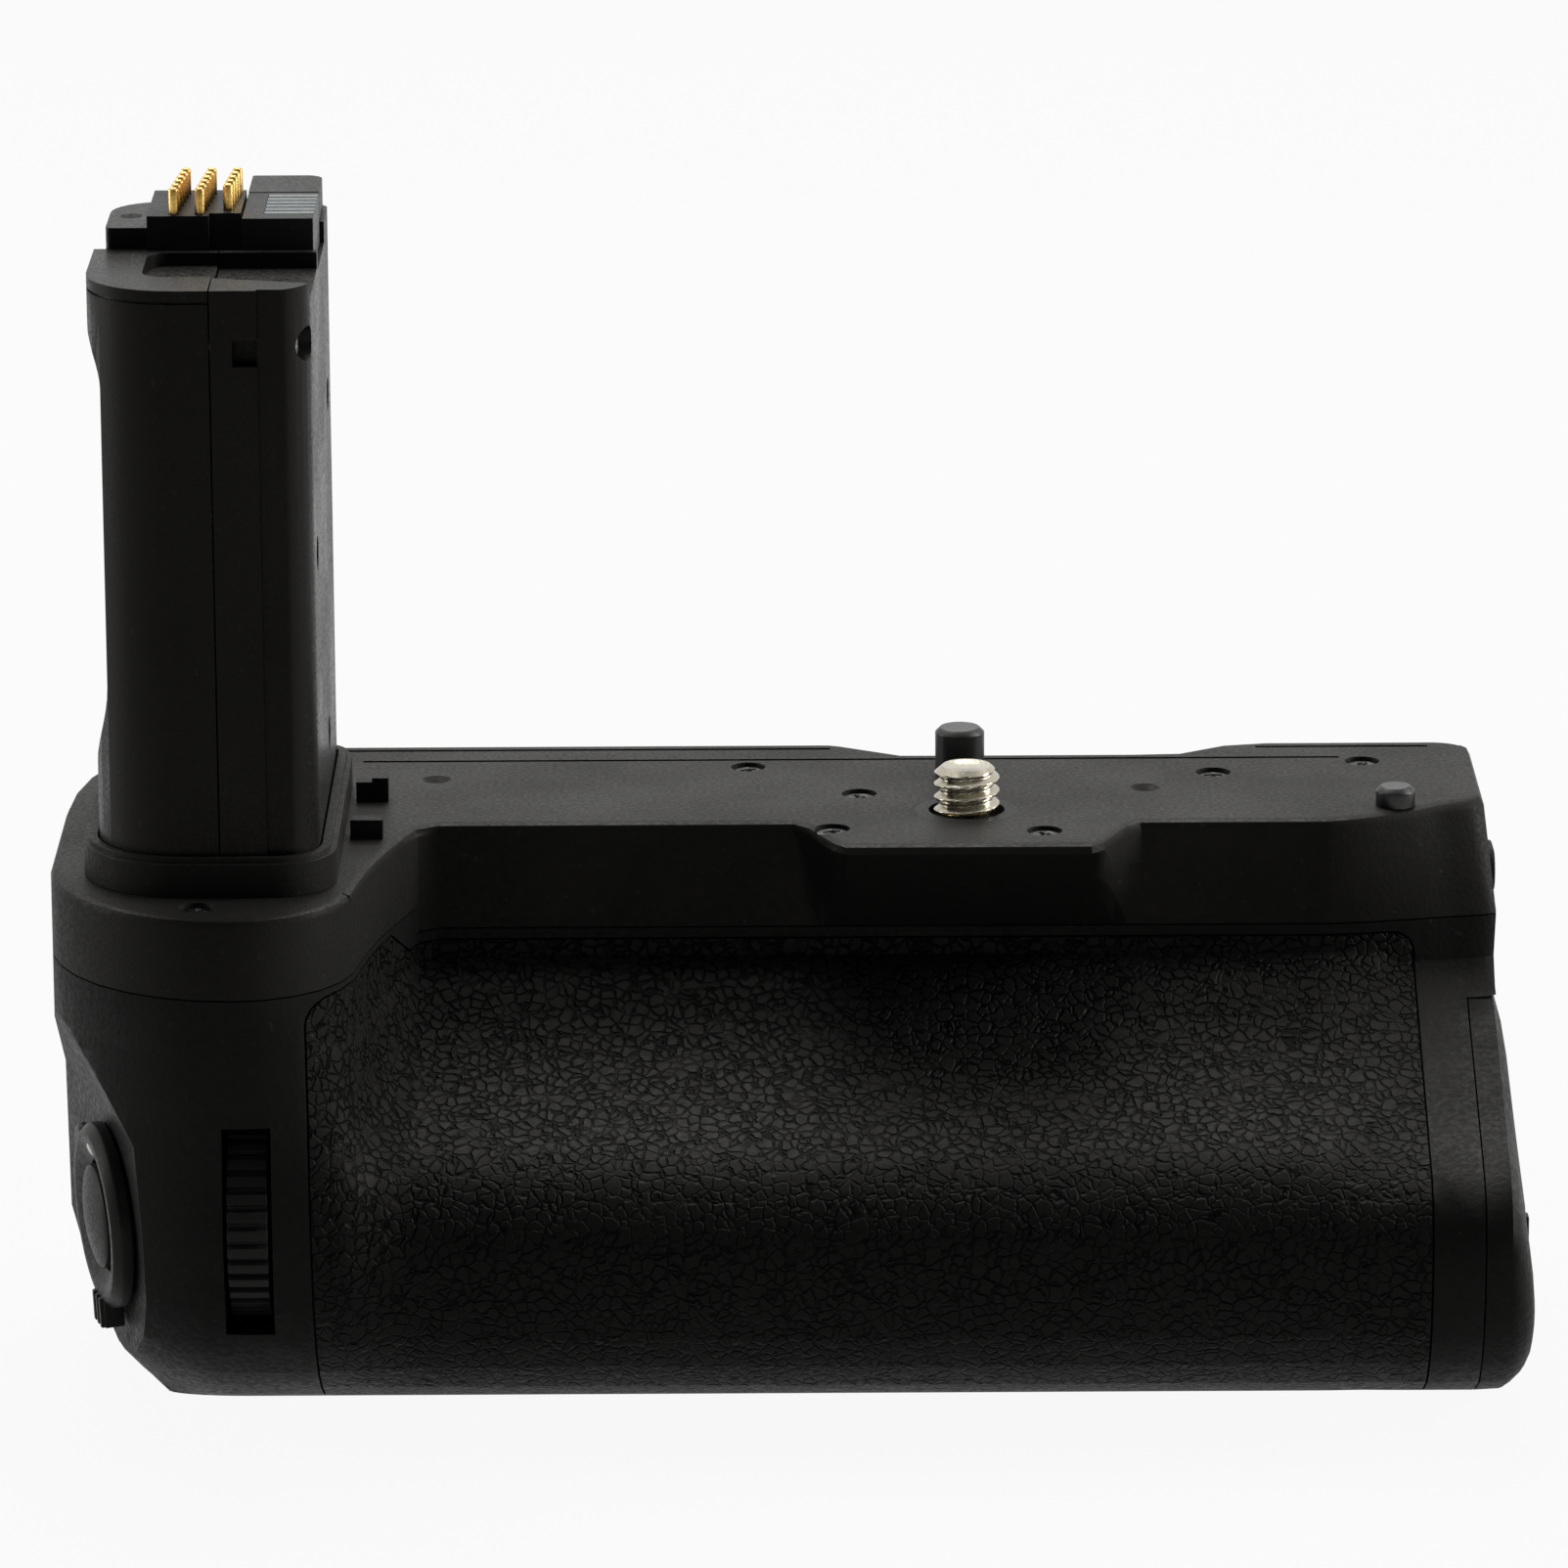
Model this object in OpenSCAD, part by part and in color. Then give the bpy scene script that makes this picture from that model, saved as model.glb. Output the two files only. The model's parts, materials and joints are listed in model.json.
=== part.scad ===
// Battery grip for a camera: a tower that fills the camera's battery chamber, a plate with the tripod
// screw, a moulded grip with dials and buttons, and a drawer for two batteries.
// Millimetres. The origin is on the axis of the camera screw, in the plane that the camera sits on.
// +X runs to the drawer's end, +Y to the back and +Z up into the camera.

/* [Batteries and drawer] */
// Length of one battery
battery_l = 56; // [52:0.5:60]
// Width of one battery
battery_w = 40; // [37:0.5:43]
// Thickness of one battery
battery_t = 20.5; // [18.5:0.5:22.5]
// Room round a battery in its well
well_room = 0.15; // [0.1:0.05:0.4]
// Wall of the battery tray
tray_wall = 1.2; // [0.8:0.1:1.6]
// Floor of the battery tray
tray_floor = 1; // [0.8:0.1:1.6]
// Running gap between the tray and its chamber
tray_gap = 0.3; // [0.25:0.05:0.5]
// Depth of the second well inside the end cap
cap_pocket = 2.8; // [2:0.1:3.2]
// Height of the end cap's dome
cap_d = 5.1; // [4.8:0.1:7]
// Wall behind the battery chamber
rear_wall = 2.3; // [2:0.1:4]
// Floor under the battery chamber
base_t = 5.25; // [5.2:0.25:8]
// Left end of the chamber, from the screw axis
chamber_left = 64.5; // [62:0.5:68]
// Front of the chamber, from the screw axis
chamber_front = 20.4; // [19:0.2:21]
// Ceiling of the chamber below the plate
chamber_drop = 25; // [24.5:0.5:28]

/* [Top cover] */
// Height of the cover's walls
cover_h = 10.3; // [10:0.1:12]
// Height of the cover over the grip
cover_grip_h = 7.8; // [6.5:0.1:9.5]
// Thickness of the plate
plate_t = 2.4; // [2:0.1:2.6]
// Front edge of the plate, from the screw axis
front_d = 4.6; // [4.4:0.1:5.2]
// Front of the lens bulge, from the screw axis
bulge_d = 13.2; // [11.5:0.1:15]
// Half width of the lens bulge at its front
bulge_half_w = 11.7; // [10:0.1:14]
// Width of the bulge's slanted flank
bulge_flank = 5; // [3:0.1:8]
// Rounding of the plate's rim
rim_r = 0.9; // [0.4:0.1:1.2]
// Depth of the recess behind the attachment wheel
recess_d = 4.2; // [3.5:0.1:5]
// Half width of that recess
recess_half_w = 13.5; // [12:0.5:16]
// Gap that shows at each seam
seam_gap = 0.15; // [0.1:0.05:0.3]

/* [Grip] */
// Reach of the grip bulge in front of the screw axis
grip_reach = 38.1; // [36:0.1:40]
// Half length of the bulge's left side
grip_left_r = 18; // [17:0.5:20]
// Half length of the bulge's right side
grip_right_r = 11; // [9:0.5:12]
// Crest of the finger scoop, from the screw axis
crest_reach = 35; // [34:0.2:37]
// Depth below the plate at which the scoop starts
scoop_z = 13.2; // [13:0.2:15]
// Thickness of the rubber pad
pad_t = 1.2; // [0.8:0.1:1.5]
// Gap round the rubber pad
pad_gap = 0.2; // [0.1:0.05:0.4]
// Length of the slope at the lower left edge
left_slope_l = 10; // [8:0.5:13]
// Height of that slope
left_slope_h = 12.5; // [9:0.5:14]

/* [Tower] */
// Width of the tower
tower_w = 21; // [20:0.2:22]
// Depth of the tower
tower_d = 40; // [38:0.5:42]
// Height of the tower's front deck
tower_h = 57.5; // [50:0.5:65]
// Front face of the tower, from the screw axis
tower_front = 29; // [28:0.5:30]
// Wall of the tower's shells
tower_wall = 1.6; // [1.2:0.1:2]
// Draw-in of the tower's waist
waist = 1.4; // [0:0.1:1.5]
// Height of the collar round the tower's foot
collar_h = 3.7; // [2.5:0.1:5]
// Width of the collar's rim
collar_rim = 1.5; // [1.2:0.1:1.8]
// Diameter of a contact pin
pin_d = 0.95; // [0.6:0.05:1.1]
// Height of the contact pins above their block
pin_h = 2.5; // [1.8:0.1:3]
// Travel of the contact pins
pin_travel = 1; // [0.5:0.1:1.2]

/* [Camera screw] */
// Diameter of the camera screw
screw_d = 6.35; // [6:0.05:7]
// Height of the camera screw above the plate
screw_h = 4.4; // [4:0.1:6]
// Diameter of the rear locating pin
rear_pin_d = 4.8; // [4:0.1:5.5]
// Height of the rear locating pin
rear_pin_h = 4.7; // [3:0.1:6]
// Diameter of the side locating pin
side_pin_d = 3.8; // [3:0.1:4.5]
// Height of the side locating pin
side_pin_h = 1.95; // [1.5:0.05:3]
// Module of the gears
gear_m = 0.75; // [0.7:0.01:0.8]
// Teeth of the screw's gear
screw_teeth = 16; // [15:1:17]
// Teeth of the idler
idler_teeth = 16; // [15:1:18]
// Teeth of the wheel's pinion
wheel_teeth = 14; // [13:1:15]
// Width of the gears
gear_w = 2.5; // [2:0.1:2.6]
// Radius of the knurled wheel
wheel_r = 9; // [8:0.1:9.4]
// Width of the knurled wheel
wheel_w = 3.3; // [2.5:0.1:3.4]
// Reach of the wheel out of its slot
wheel_reach = 1.6; // [1:0.1:2]

/* [Controls] */
// Radius of the two dials
dial_r = 10.5; // [10:0.1:10.8]
// Width of the two dials
dial_w = 3.8; // [3:0.1:4.2]
// Ridges on a dial
dial_ridges = 38; // [32:1:56]
// Height of the dials above the surface
dial_reach = 0.6; // [0.3:0.1:1]
// Radius of the lock collar on the shutter button
lock_r = 8.9; // [8.7:0.1:9.2]
// Radius of the shutter button
shutter_r = 5; // [4.4:0.1:5.6]
// Travel of the shutter button
shutter_travel = 1.2; // [0.5:0.1:1.4]
// Radius of the function button
function_r = 2.5; // [2.2:0.1:2.7]
// Radius of the rear focus button
af_r = 3.25; // [2.8:0.05:3.6]
// Travel of the small buttons
button_travel = 0.5; // [0.3:0.05:0.55]
// Radius of the joystick's cap
stick_r = 4; // [3.8:0.1:4.4]
// Radius of the tray lock's knob
knob_r = 3.8; // [3.4:0.1:4.2]
// Radius of the tripod socket's thread
socket_r = 3.2; // [3:0.05:3.4]
// Radial clearance of shafts and sliding buttons
run_gap = 0.05; // [0.03:0.01:0.08]
// Clearance between moving pieces
move_gap = 0.3; // [0.25:0.05:0.35]

/* [Hidden] */
$fn = 48;
// Cuts run past a face by this much
over = 1;

// Layout of the drawer along X, Y and Z
well_l = battery_l + 2 * well_room;
well_w = battery_w + 2 * well_room;
well_h = battery_t + well_room;
tray_x = -chamber_left + tray_gap;
well_x = [tray_x + tray_wall, tray_x + 2 * tray_wall + well_l];
seam_x = well_x[1] + well_l - cap_pocket;
chamber_y = -chamber_front;
tray_y = chamber_y + tray_gap;
well_y = tray_y + tray_wall;
tray_d = well_w + 2 * tray_wall;
chamber_d = tray_d + 2 * tray_gap;
rear_y = chamber_y + chamber_d + rear_wall;
tray_top = -chamber_drop - tray_gap;
well_z = tray_top - well_h;
tray_z = well_z - tray_floor;
chamber_z = tray_z - tray_gap;
bottom_z = chamber_z - base_t;

// Outline of the plate
ledge = 2.9;
right_x = seam_x + ledge;
slot_wall = 1.1;
dial_slot_w = dial_w + 0.8;
front_dial_x = -chamber_left - slot_wall - dial_slot_w / 2;
apex_x = front_dial_x - 1.1;
left_x = apex_x - grip_left_r;
grip_mid = 18;
flank_turn = 27;
flank_foot_x = apex_x + 16.3;
flank_top_y = -flank_turn - 2;
cover_step_x = flank_foot_x - 0.3;
corner_back = 9;
corner_low = 3.5;
corner_side = 16.5;
rear_corner_r = 4.5;
left_corner_l = 9;
left_corner_d = 23;
bulge_fade_z = cover_h - 0.4;

// Camera screw and its gear train
bush_r = 5;
bush_bore_r = screw_d / 2 + 0.475;
neck_r = 2.4;
pivot_r = 1.2;
pivot_play = 0.2;
axle_r = 1.5;
wheel_x = 6.5;
wheel_ridges = 40;
wheel_ridge_d = 0.5;
wheel_y = rear_y - recess_d + wheel_reach - wheel_r;
gear_top = -plate_t - move_gap;
gear_z = gear_top - gear_w;
wheel_top = gear_z - 0.4;
wheel_z = wheel_top - wheel_w;
gear_plate_t = 1;
gear_plate_top = -cover_h + gear_plate_t;
screw_idler = gear_m * (screw_teeth + idler_teeth) / 2;
idler_wheel = gear_m * (idler_teeth + wheel_teeth) / 2;
screw_wheel = norm([wheel_x, wheel_y]);
wheel_angle = atan2(wheel_y, wheel_x);
idler_turn = acos((pow(screw_idler, 2) + pow(screw_wheel, 2) - pow(idler_wheel, 2))
    / (2 * screw_idler * screw_wheel));
idler_angle = wheel_angle - idler_turn;
idler_pos = screw_idler * [cos(idler_angle), sin(idler_angle)];
wheel_pos = [wheel_x, wheel_y];
idler_to_wheel = atan2(wheel_y - idler_pos[1], wheel_x - idler_pos[0]);
idler_to_screw = idler_angle + 180;
backlash = 0.16;
screw_gear_r = gear_m * (screw_teeth / 2 + 1);
idler_r = gear_m * (idler_teeth / 2 + 1);
wheel_gear_r = gear_m * (wheel_teeth / 2 + 1);

// Fasteners of the plate
head_r = 1.5;
head_room = 0.2;
head_t = 0.8;
head_drop = 0.3;
shank_r = 0.8;
boss_r = 2.4;
short_shank = 2.7;
long_shank = 15;
long_screws = [[wheel_x - 27.6, rear_y - 9], [-10.3, 6], [wheel_x + 17.9, rear_y - 11.8],
    [right_x - 11.7, rear_y - 7.9], [apex_x - 3.3, 4.4 - grip_reach]];
short_screws = [[-bulge_half_w - 1.3, -front_d - 2.3], [bulge_half_w - 4.4, -front_d - 3.4]];
side_pin_pos = [right_x - 9.5, 0.8];
rear_pin_pos = [-0.4, 13.5];
foot_step = 0.3;

// Tower
tower_x = left_x + 4.9;
tower_y = -tower_front;
tower_split = tower_x + 11.8;
tower_left_r = 8.5;
tower_right_r = 4.5;
tower_rear_r = 1.6;
least_r = 0.3;
block_front = tower_y + 19.3;
block_d = 12.3;
block_x = tower_x + 5;
block_w = 8.9;
block_top = tower_h + 3.1;
block_bottom = tower_h - 2;
tower_ceiling = block_bottom - pin_travel - 0.6;
deck_rear = tower_h + 2;
terminal_x = block_x + block_w;
pin_pitch_x = 2.45;
pin_pitch_y = 1.9;
pin_lean = 0.12;
pin_inset = [2.5, 1.1];
pin_rows = 6;
board_t = 1.2;

// Controls
front_dial_z = -30.7;
dial_pocket_r = dial_r + 0.5;
front_dial_y = -grip_reach - dial_reach + dial_r;
dial_slot_h = 2 * dial_r - 0.3;
dial_slot_out = 6;
dial_ridge_d = 0.7;
dial_axle_r = 1.5;
dial_axle_l = dial_slot_w + 4;
rear_dial_x = apex_x - 5;
rear_dial_y = rear_y + dial_reach - dial_r;
rear_dial_z = bottom_z + 17.5;
af_pos = [apex_x - 8, -18];
stick_pos = [apex_x, -20];
stick_pivot_y = rear_y - 6.2;
shutter_turn = 16.5;
shutter_tilt = 3;
shutter_pos = [left_x + 5.8, -24, bottom_z + 19.7];
function_offset = [3.1, 11.4];
platform_rise = lock_r + 1;
platform_lean = 20;
collar_t = 2.2;
hub_depth = 3.2;
hub_r = 7.7;
switch_r = 4.9;
switch_depth = 7;
switch_floor = 0.6;
switch_drop = 1.2;
shutter_rise = 0.6;
shutter_skirt = 1;
shutter_dome_r = 16;
shutter_stop = 0.2;
shutter_plunger_r = 2;
shutter_plunger_l = switch_depth - hub_depth - switch_floor - shutter_travel - shutter_stop;
function_bore = 3.2;
function_depth = 6;
af_bore = 4.4;
af_depth = 7.4;
button_rise = 0.5;
button_edge = 0.3;
stop_gap = 0.1;
plunger_r = 1;
plunger_l = 0.8;
switch_step = 0.4;
stick_well = 3.4;
stick_lip = 1.2;
stick_lip_in = 0.5;
trunnion_hole_l = 1.4;

// Smooth step from 0 at a to 1 at b
function ramp(v, a, b) = let (t = min(1, max(0, (v - a) / (b - a)))) t * t * (3 - 2 * t);
function mix(a, b, t) = a + (b - a) * t;

// Smooth curve through points, with n steps a span
function catmull(a, b, c, d, t) = 0.5 * (2 * b + (c - a) * t + (2 * a - 5 * b + 4 * c - d) * t * t
    + (3 * b - a - 3 * c + d) * t * t * t);
function spline(p, n) = [
    for (i = [0 : len(p) - 2], k = [0 : n - 1])
        catmull(p[max(i - 1, 0)], p[i], p[i + 1], p[min(i + 2, len(p) - 1)], k / n),
    p[len(p) - 1]
];

// Right front corner of the plate, as shares of its length and depth
corner_points = [[0, 0], [0.13, 0.05], [0.31, 0.18], [0.57, 0.44], [0.72, 0.62], [0.85, 0.72], [0.95, 0.83],
    [1, 1]];
corner = spline(corner_points, 2);
corner_steps = len(corner) - 1;
front_x1 = right_x - corner_side;
function corner_y(x, back) = back * lookup((x - front_x1) / corner_side, corner) - front_d;
function cover_corner(z) = mix(corner_back, corner_low, min(1, -z / cover_h));

// Lean of the right end, which is narrowest at the plate
side_lean_points = [[-cover_h - 6, 0], [-cover_h, 0.25], [0, -0.8]];
function side_lean(z) = lookup(z, side_lean_points);

// Section of the finger scoop as [y, z], from the cover down to the base
scoop_points = [
    [-front_d, -scoop_z],
    [-front_d - 3.4, -scoop_z - 1.4],
    [-front_d - 9.4, -scoop_z - 6.1],
    [11 - crest_reach, -scoop_z - 10.3],
    [5 - crest_reach, -scoop_z - 12.8],
    [1.4 - crest_reach, -scoop_z - 16.3],
    [-crest_reach, bottom_z + 18],
    [1.4 - crest_reach, bottom_z + 10],
    [6.5 - crest_reach, bottom_z + 3.7],
    [15 - crest_reach, bottom_z]
];
scoop_steps = 2;
scoop = concat([[-front_d, -cover_grip_h - seam_gap], [-front_d, -cover_h - seam_gap]],
    spline(scoop_points, scoop_steps));
base_y = 15 - crest_reach;

// Front of the grip bulge at height z
grip_profile = [
    [bottom_z, base_y],
    [bottom_z + 2.5, -26.5],
    [bottom_z + 6.5, -32.5],
    [bottom_z + 12, 1.2 - grip_reach],
    [bottom_z + 20, -grip_reach],
    [bottom_z + 32, 0.4 - grip_reach],
    [-cover_grip_h, -grip_reach]
];
function grip_front(z) = lookup(z, grip_profile);
function scoop_front(z) = lookup(z, [for (i = [len(scoop) - 1 : -1 : 0]) [scoop[i][1], scoop[i][0]]]);

// Right shoulder beside the scoop
shoulder_low = -scoop_z - 15.1;
shoulder_fall = 2;
shoulder_x = [seam_x - 15, seam_x - 7];
function shoulder_front(x, z) = let (top = -scoop_z - 0.3 - shoulder_fall * ramp(x, front_x1, seam_x))
    z < shoulder_low ? scoop_front(z)
    : mix(scoop_front(shoulder_low), corner_y(x, corner_low),
        min(1, (z - shoulder_low) / (top - shoulder_low)));

// Draw-in of the rear edge and of the left end near the base
base_r = 5;
function rear_in(z) = let (h = max(0, bottom_z + base_r - z)) base_r - sqrt(base_r * base_r - h * h);
function left_in(z) = left_slope_l * max(0, (bottom_z + left_slope_h - z) / left_slope_h);

// Front edge of the plate, with the lens bulge that fades out towards the seam
function bulge_front(x, z) = let (
    side = 1 - ramp(abs(x), bulge_half_w, bulge_half_w + bulge_flank),
    fade = lookup(z, [[-bulge_fade_z, 0], [-1.2, 1]]))
    -front_d - (bulge_d - front_d) * side * fade;

// Front chain of the outline at height z, from the left end to the right end
left_steps = 8;
right_steps = 5;
flank_steps = 6;
flank_bow = 0.75;
front_steps = 16;
function front_edge(x, z, cover) = cover ? bulge_front(x, z) + corner_y(x, cover_corner(z)) + front_d
    : mix(scoop_front(z) + corner_y(x, corner_low) + front_d, shoulder_front(x, z),
        ramp(x, shoulder_x[0], shoulder_x[1]));
front_x0 = flank_foot_x + 2;
bulge_foot = bulge_half_w + bulge_flank;
cover_stations = concat(
    [for (i = [0 : 5]) mix(front_x0, -bulge_foot, i / 5)],
    [for (i = [1 : 4]) mix(-bulge_foot, -bulge_half_w, i / 4)],
    [for (i = [1 : 4]) mix(-bulge_half_w, bulge_half_w, i / 4)],
    [for (i = [1 : 4]) mix(bulge_half_w, bulge_foot, i / 4)],
    [for (i = [1 : 4]) mix(bulge_foot, front_x1, i / 4)]
);
shell_stations = [for (i = [0 : front_steps])
    (front_x0 + front_x1) / 2 - (front_x1 - front_x0) / 2 * cos(180 * i / front_steps)];
function squeeze_x(x, z) = apex_x + (x - apex_x) * (grip_left_r - left_in(z)) / grip_left_r;
function loose_x(x, z) = x > apex_x ? x : apex_x + (x - apex_x) * grip_left_r / (grip_left_r - left_in(z));
function bulge_y(y, z, cover) = cover ? y
    : scoop_front(z) + (y + front_d) * (grip_front(z) - scoop_front(z)) / (front_d - grip_reach);
function left_y(y, z, cover) = cover ? y
    : -grip_mid + (y + grip_mid) * (grip_front(z) + grip_mid) / (grip_mid - grip_reach);
function front_chain(z, cover) = let (
    left_b = grip_reach - grip_mid,
    right_b = grip_reach - flank_turn,
    foot = [flank_foot_x, -front_d - 1.2],
    knee = [apex_x + grip_right_r, flank_top_y])
    concat(
        [for (i = [0 : left_steps]) let (a = 90 * i / left_steps)
            [squeeze_x(apex_x - grip_left_r * cos(a), z), left_y(-grip_mid - left_b * sin(a), z, cover)]],
        [for (i = [1 : right_steps]) let (a = 80 * i / right_steps)
            [apex_x + grip_right_r * sin(a), bulge_y(-flank_turn - right_b * cos(a), z, cover)]],
        [for (i = [0 : flank_steps]) let (t = i / flank_steps, p = mix(knee, foot, t))
            [p[0] - flank_bow * sin(180 * t), bulge_y(p[1], z, cover)]],
        [for (x = cover ? cover_stations : shell_stations) [x, front_edge(x, z, cover)]],
        [for (i = [1 : corner_steps]) let (x = front_x1 + corner_side * corner[i][0])
            [x + side_lean(z) * corner[i][0], front_edge(x, z, cover)]]
    );

// Rear chain of the outline, with a point behind each point of the front chain
function recess(x) = recess_d * ramp(x, wheel_x - recess_half_w - 6.5, wheel_x - recess_half_w + 1.5)
    * (1 - ramp(x, wheel_x + recess_half_w, wheel_x + recess_half_w + 8));
function round_in(v, l, d) = let (t = min(1, max(0, v / l))) d * (1 - sqrt(1 - t * t));
function rear_edge(x, z, cover) = rear_y - (cover ? recess(x) : rear_in(z))
    - round_in(left_x + left_corner_l - loose_x(x, z), left_corner_l, left_corner_d)
    - round_in(x - right_x + rear_corner_r, rear_corner_r, rear_corner_r);
function rear_chain(z, cover) = [for (p = front_chain(z, cover)) [p[0], rear_edge(p[0], z, cover)]];

// Closed ring at height z, drawn in by d along its own normals
function reversed(p) = [for (i = [len(p) - 1 : -1 : 0]) p[i]];
function drawn_in(p, d) = [for (i = [0 : len(p) - 1]) let (
    t = p[(i + 1) % len(p)] - p[(i + len(p) - 1) % len(p)],
    n = [-t[1], t[0]] / norm(t))
    p[i] + d * n];
function ring(z, cover, d = 0) = [for (p = drawn_in(concat(front_chain(z, cover),
    reversed(rear_chain(z, cover))), d)) [p[0], p[1], z]];

// Solid through a stack of rings, from the first ring to the last
module stack(rings) {
    n = len(rings[0]);
    m = len(rings);
    half = n / 2;
    last = (m - 1) * n;
    polyhedron(points = [for (r = rings) each r], faces = concat(
        [for (k = [0 : m - 2], j = [0 : n - 1]) let (i = (j + 1) % n)
            [k * n + j, k * n + i, (k + 1) * n + i]],
        [for (k = [0 : m - 2], j = [0 : n - 1]) let (i = (j + 1) % n)
            [k * n + j, (k + 1) * n + i, (k + 1) * n + j]],
        [for (j = [0 : half - 2]) [j, n - 1 - j, n - 2 - j]],
        [for (j = [0 : half - 2]) [j, n - 2 - j, j + 1]],
        [for (j = [0 : half - 2]) [last + j, last + n - 2 - j, last + n - 1 - j]],
        [for (j = [0 : half - 2]) [last + j, last + j + 1, last + n - 2 - j]]
    ));
}

// Rectangle with a radius at each corner, in the order low-low, high-low, high-high, low-high
function rounded(x0, y0, x1, y1, r, steps = 8) = let (
    c = [[x0 + r[0], y0 + r[0]], [x1 - r[1], y0 + r[1]], [x1 - r[2], y1 - r[2]], [x0 + r[3], y1 - r[3]]])
    [for (k = [0 : 3], i = [0 : steps]) let (a = 180 + 90 * k + 90 * i / steps)
        c[k] + r[k] * [cos(a), sin(a)]];

// Involute gear, with a tooth on the X axis before it is turned
pressure = 20;
function involute(r, base) = let (a = acos(min(1, base / r))) tan(a) * 180 / PI - a;
module gear(teeth, width, bore_r) {
    pitch_r = gear_m * teeth / 2;
    base = pitch_r * cos(pressure);
    root_r = pitch_r - 1.25 * gear_m;
    tip_r = pitch_r + 0.95 * gear_m;
    half = 90 / teeth - backlash / 2 / pitch_r * 180 / PI + involute(pitch_r, base);
    low_r = max(base, root_r);
    flank = [for (i = [0 : 4]) let (r = mix(low_r, tip_r, i / 4)) [r, half - involute(r, base)]];
    tooth = concat([[root_r, half]], flank);
    points = [for (t = [0 : teeth - 1], s = [-1, 1], i = [0 : 5]) let (
        q = tooth[s < 0 ? i : 5 - i],
        a = 360 * t / teeth + s * q[1])
        q[0] * [cos(a), sin(a)]];
    difference() {
        linear_extrude(width) polygon(points);
        translate([0, 0, -over]) cylinder(r = bore_r, h = width + 2 * over);
    }
}

// Wheel with straight ridges round its rim
module ridged(r, width, ridges, depth, bore_r) {
    pitch = 360 / ridges;
    points = [for (i = [0 : ridges - 1], q = [[0, 0], [0.1, depth], [0.66, depth], [0.76, 0]])
        (r - depth + q[1]) * [cos((i + q[0]) * pitch), sin((i + q[0]) * pitch)]];
    difference() {
        linear_extrude(width) polygon(points);
        translate([0, 0, -over]) cylinder(r = bore_r, h = width + 2 * over);
    }
}

// Frame of the shutter button: its Z axis points out of the platform
module on_platform(offset = [0, 0]) {
    translate(shutter_pos)
        rotate([0, 90 + shutter_tilt, 180 + shutter_turn])
            translate([-offset[0], -offset[1], 0]) children();
}

// Frames whose Z axis points along +X or +Y
module along_x(pos) {
    translate(pos) rotate([0, 90, 0]) children();
}
module along_y(pos) {
    translate(pos) rotate([-90, 0, 0]) children();
}

// Top cover
hook_w = 3.1;
hook_t = 1.8;
hook_x = flank_foot_x - 6.3;
groove_w = 0.6;
groove_d = 0.3;
dimple_r = 1.6;
dimple_d = 0.6;
dimples = [[flank_foot_x + 1.2, 12], [wheel_x + 11, 7.7]];
hook_y = [-10, 3.6];
hook_h = [1.9, 2];
hook_tip_h = 2.4;
cavity_front = 2.9;
cavity_rear = rear_y - recess_d - 2.2;
cavity_x = [flank_foot_x + 5.7, front_x1 - 1];
cable_way = [11, 26];
tower_mid = [tower_x + tower_w / 2, tower_y + tower_d / 2];
plug_w = 7;
plug_h = 4.4;
plug_pos = [rear_y - 18.7, -cover_h + 2.55];
plug_depth = 1.2;
plug_reach = 0.45;

module bar(x0, x1, y, w, d) {
    translate([x0, y - w / 2, -d]) cube([x1 - x0, w, d + over]);
}

module screw_holes(places, depth) {
    for (p = places) translate([p[0], p[1], 0]) {
        translate([0, 0, -depth - over]) cylinder(r = shank_r, h = depth + over);
        translate([0, 0, -head_drop - head_t])
            cylinder(r = head_r + head_room, h = head_drop + head_t + over);
    }
}

module cover_cavity() {
    difference() {
        union() {
            translate([cavity_x[0], -cavity_front, -cover_h - over])
                cube([cavity_x[1] - cavity_x[0], cavity_rear + cavity_front, cover_h - plate_t + over]);
            for (g = [[[0, 0], screw_gear_r], [idler_pos, idler_r], [wheel_pos, wheel_gear_r]])
                translate([g[0][0], g[0][1], gear_z - move_gap])
                    cylinder(r = g[1] + move_gap, h = -plate_t - gear_z + move_gap);
        }
        for (p = long_screws) translate([p[0], p[1], -cover_h - 2 * over])
            cylinder(r = boss_r, h = cover_h + over);
    }
    translate([wheel_x, wheel_y, wheel_z - move_gap])
        cylinder(r = wheel_r + move_gap, h = wheel_w + 2 * move_gap);
}

module side_plug_shape(d, grow = 0) {
    r = plug_h / 2 + grow;
    along_x([right_x - plug_depth, plug_pos[0], plug_pos[1]]) {
        for (s = [-1, 1]) translate([0, s * (plug_w - plug_h) / 2, 0]) cylinder(r = r, h = d);
        translate([-r, -(plug_w - plug_h) / 2, 0]) cube([2 * r, plug_w - plug_h, d]);
    }
}

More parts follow.
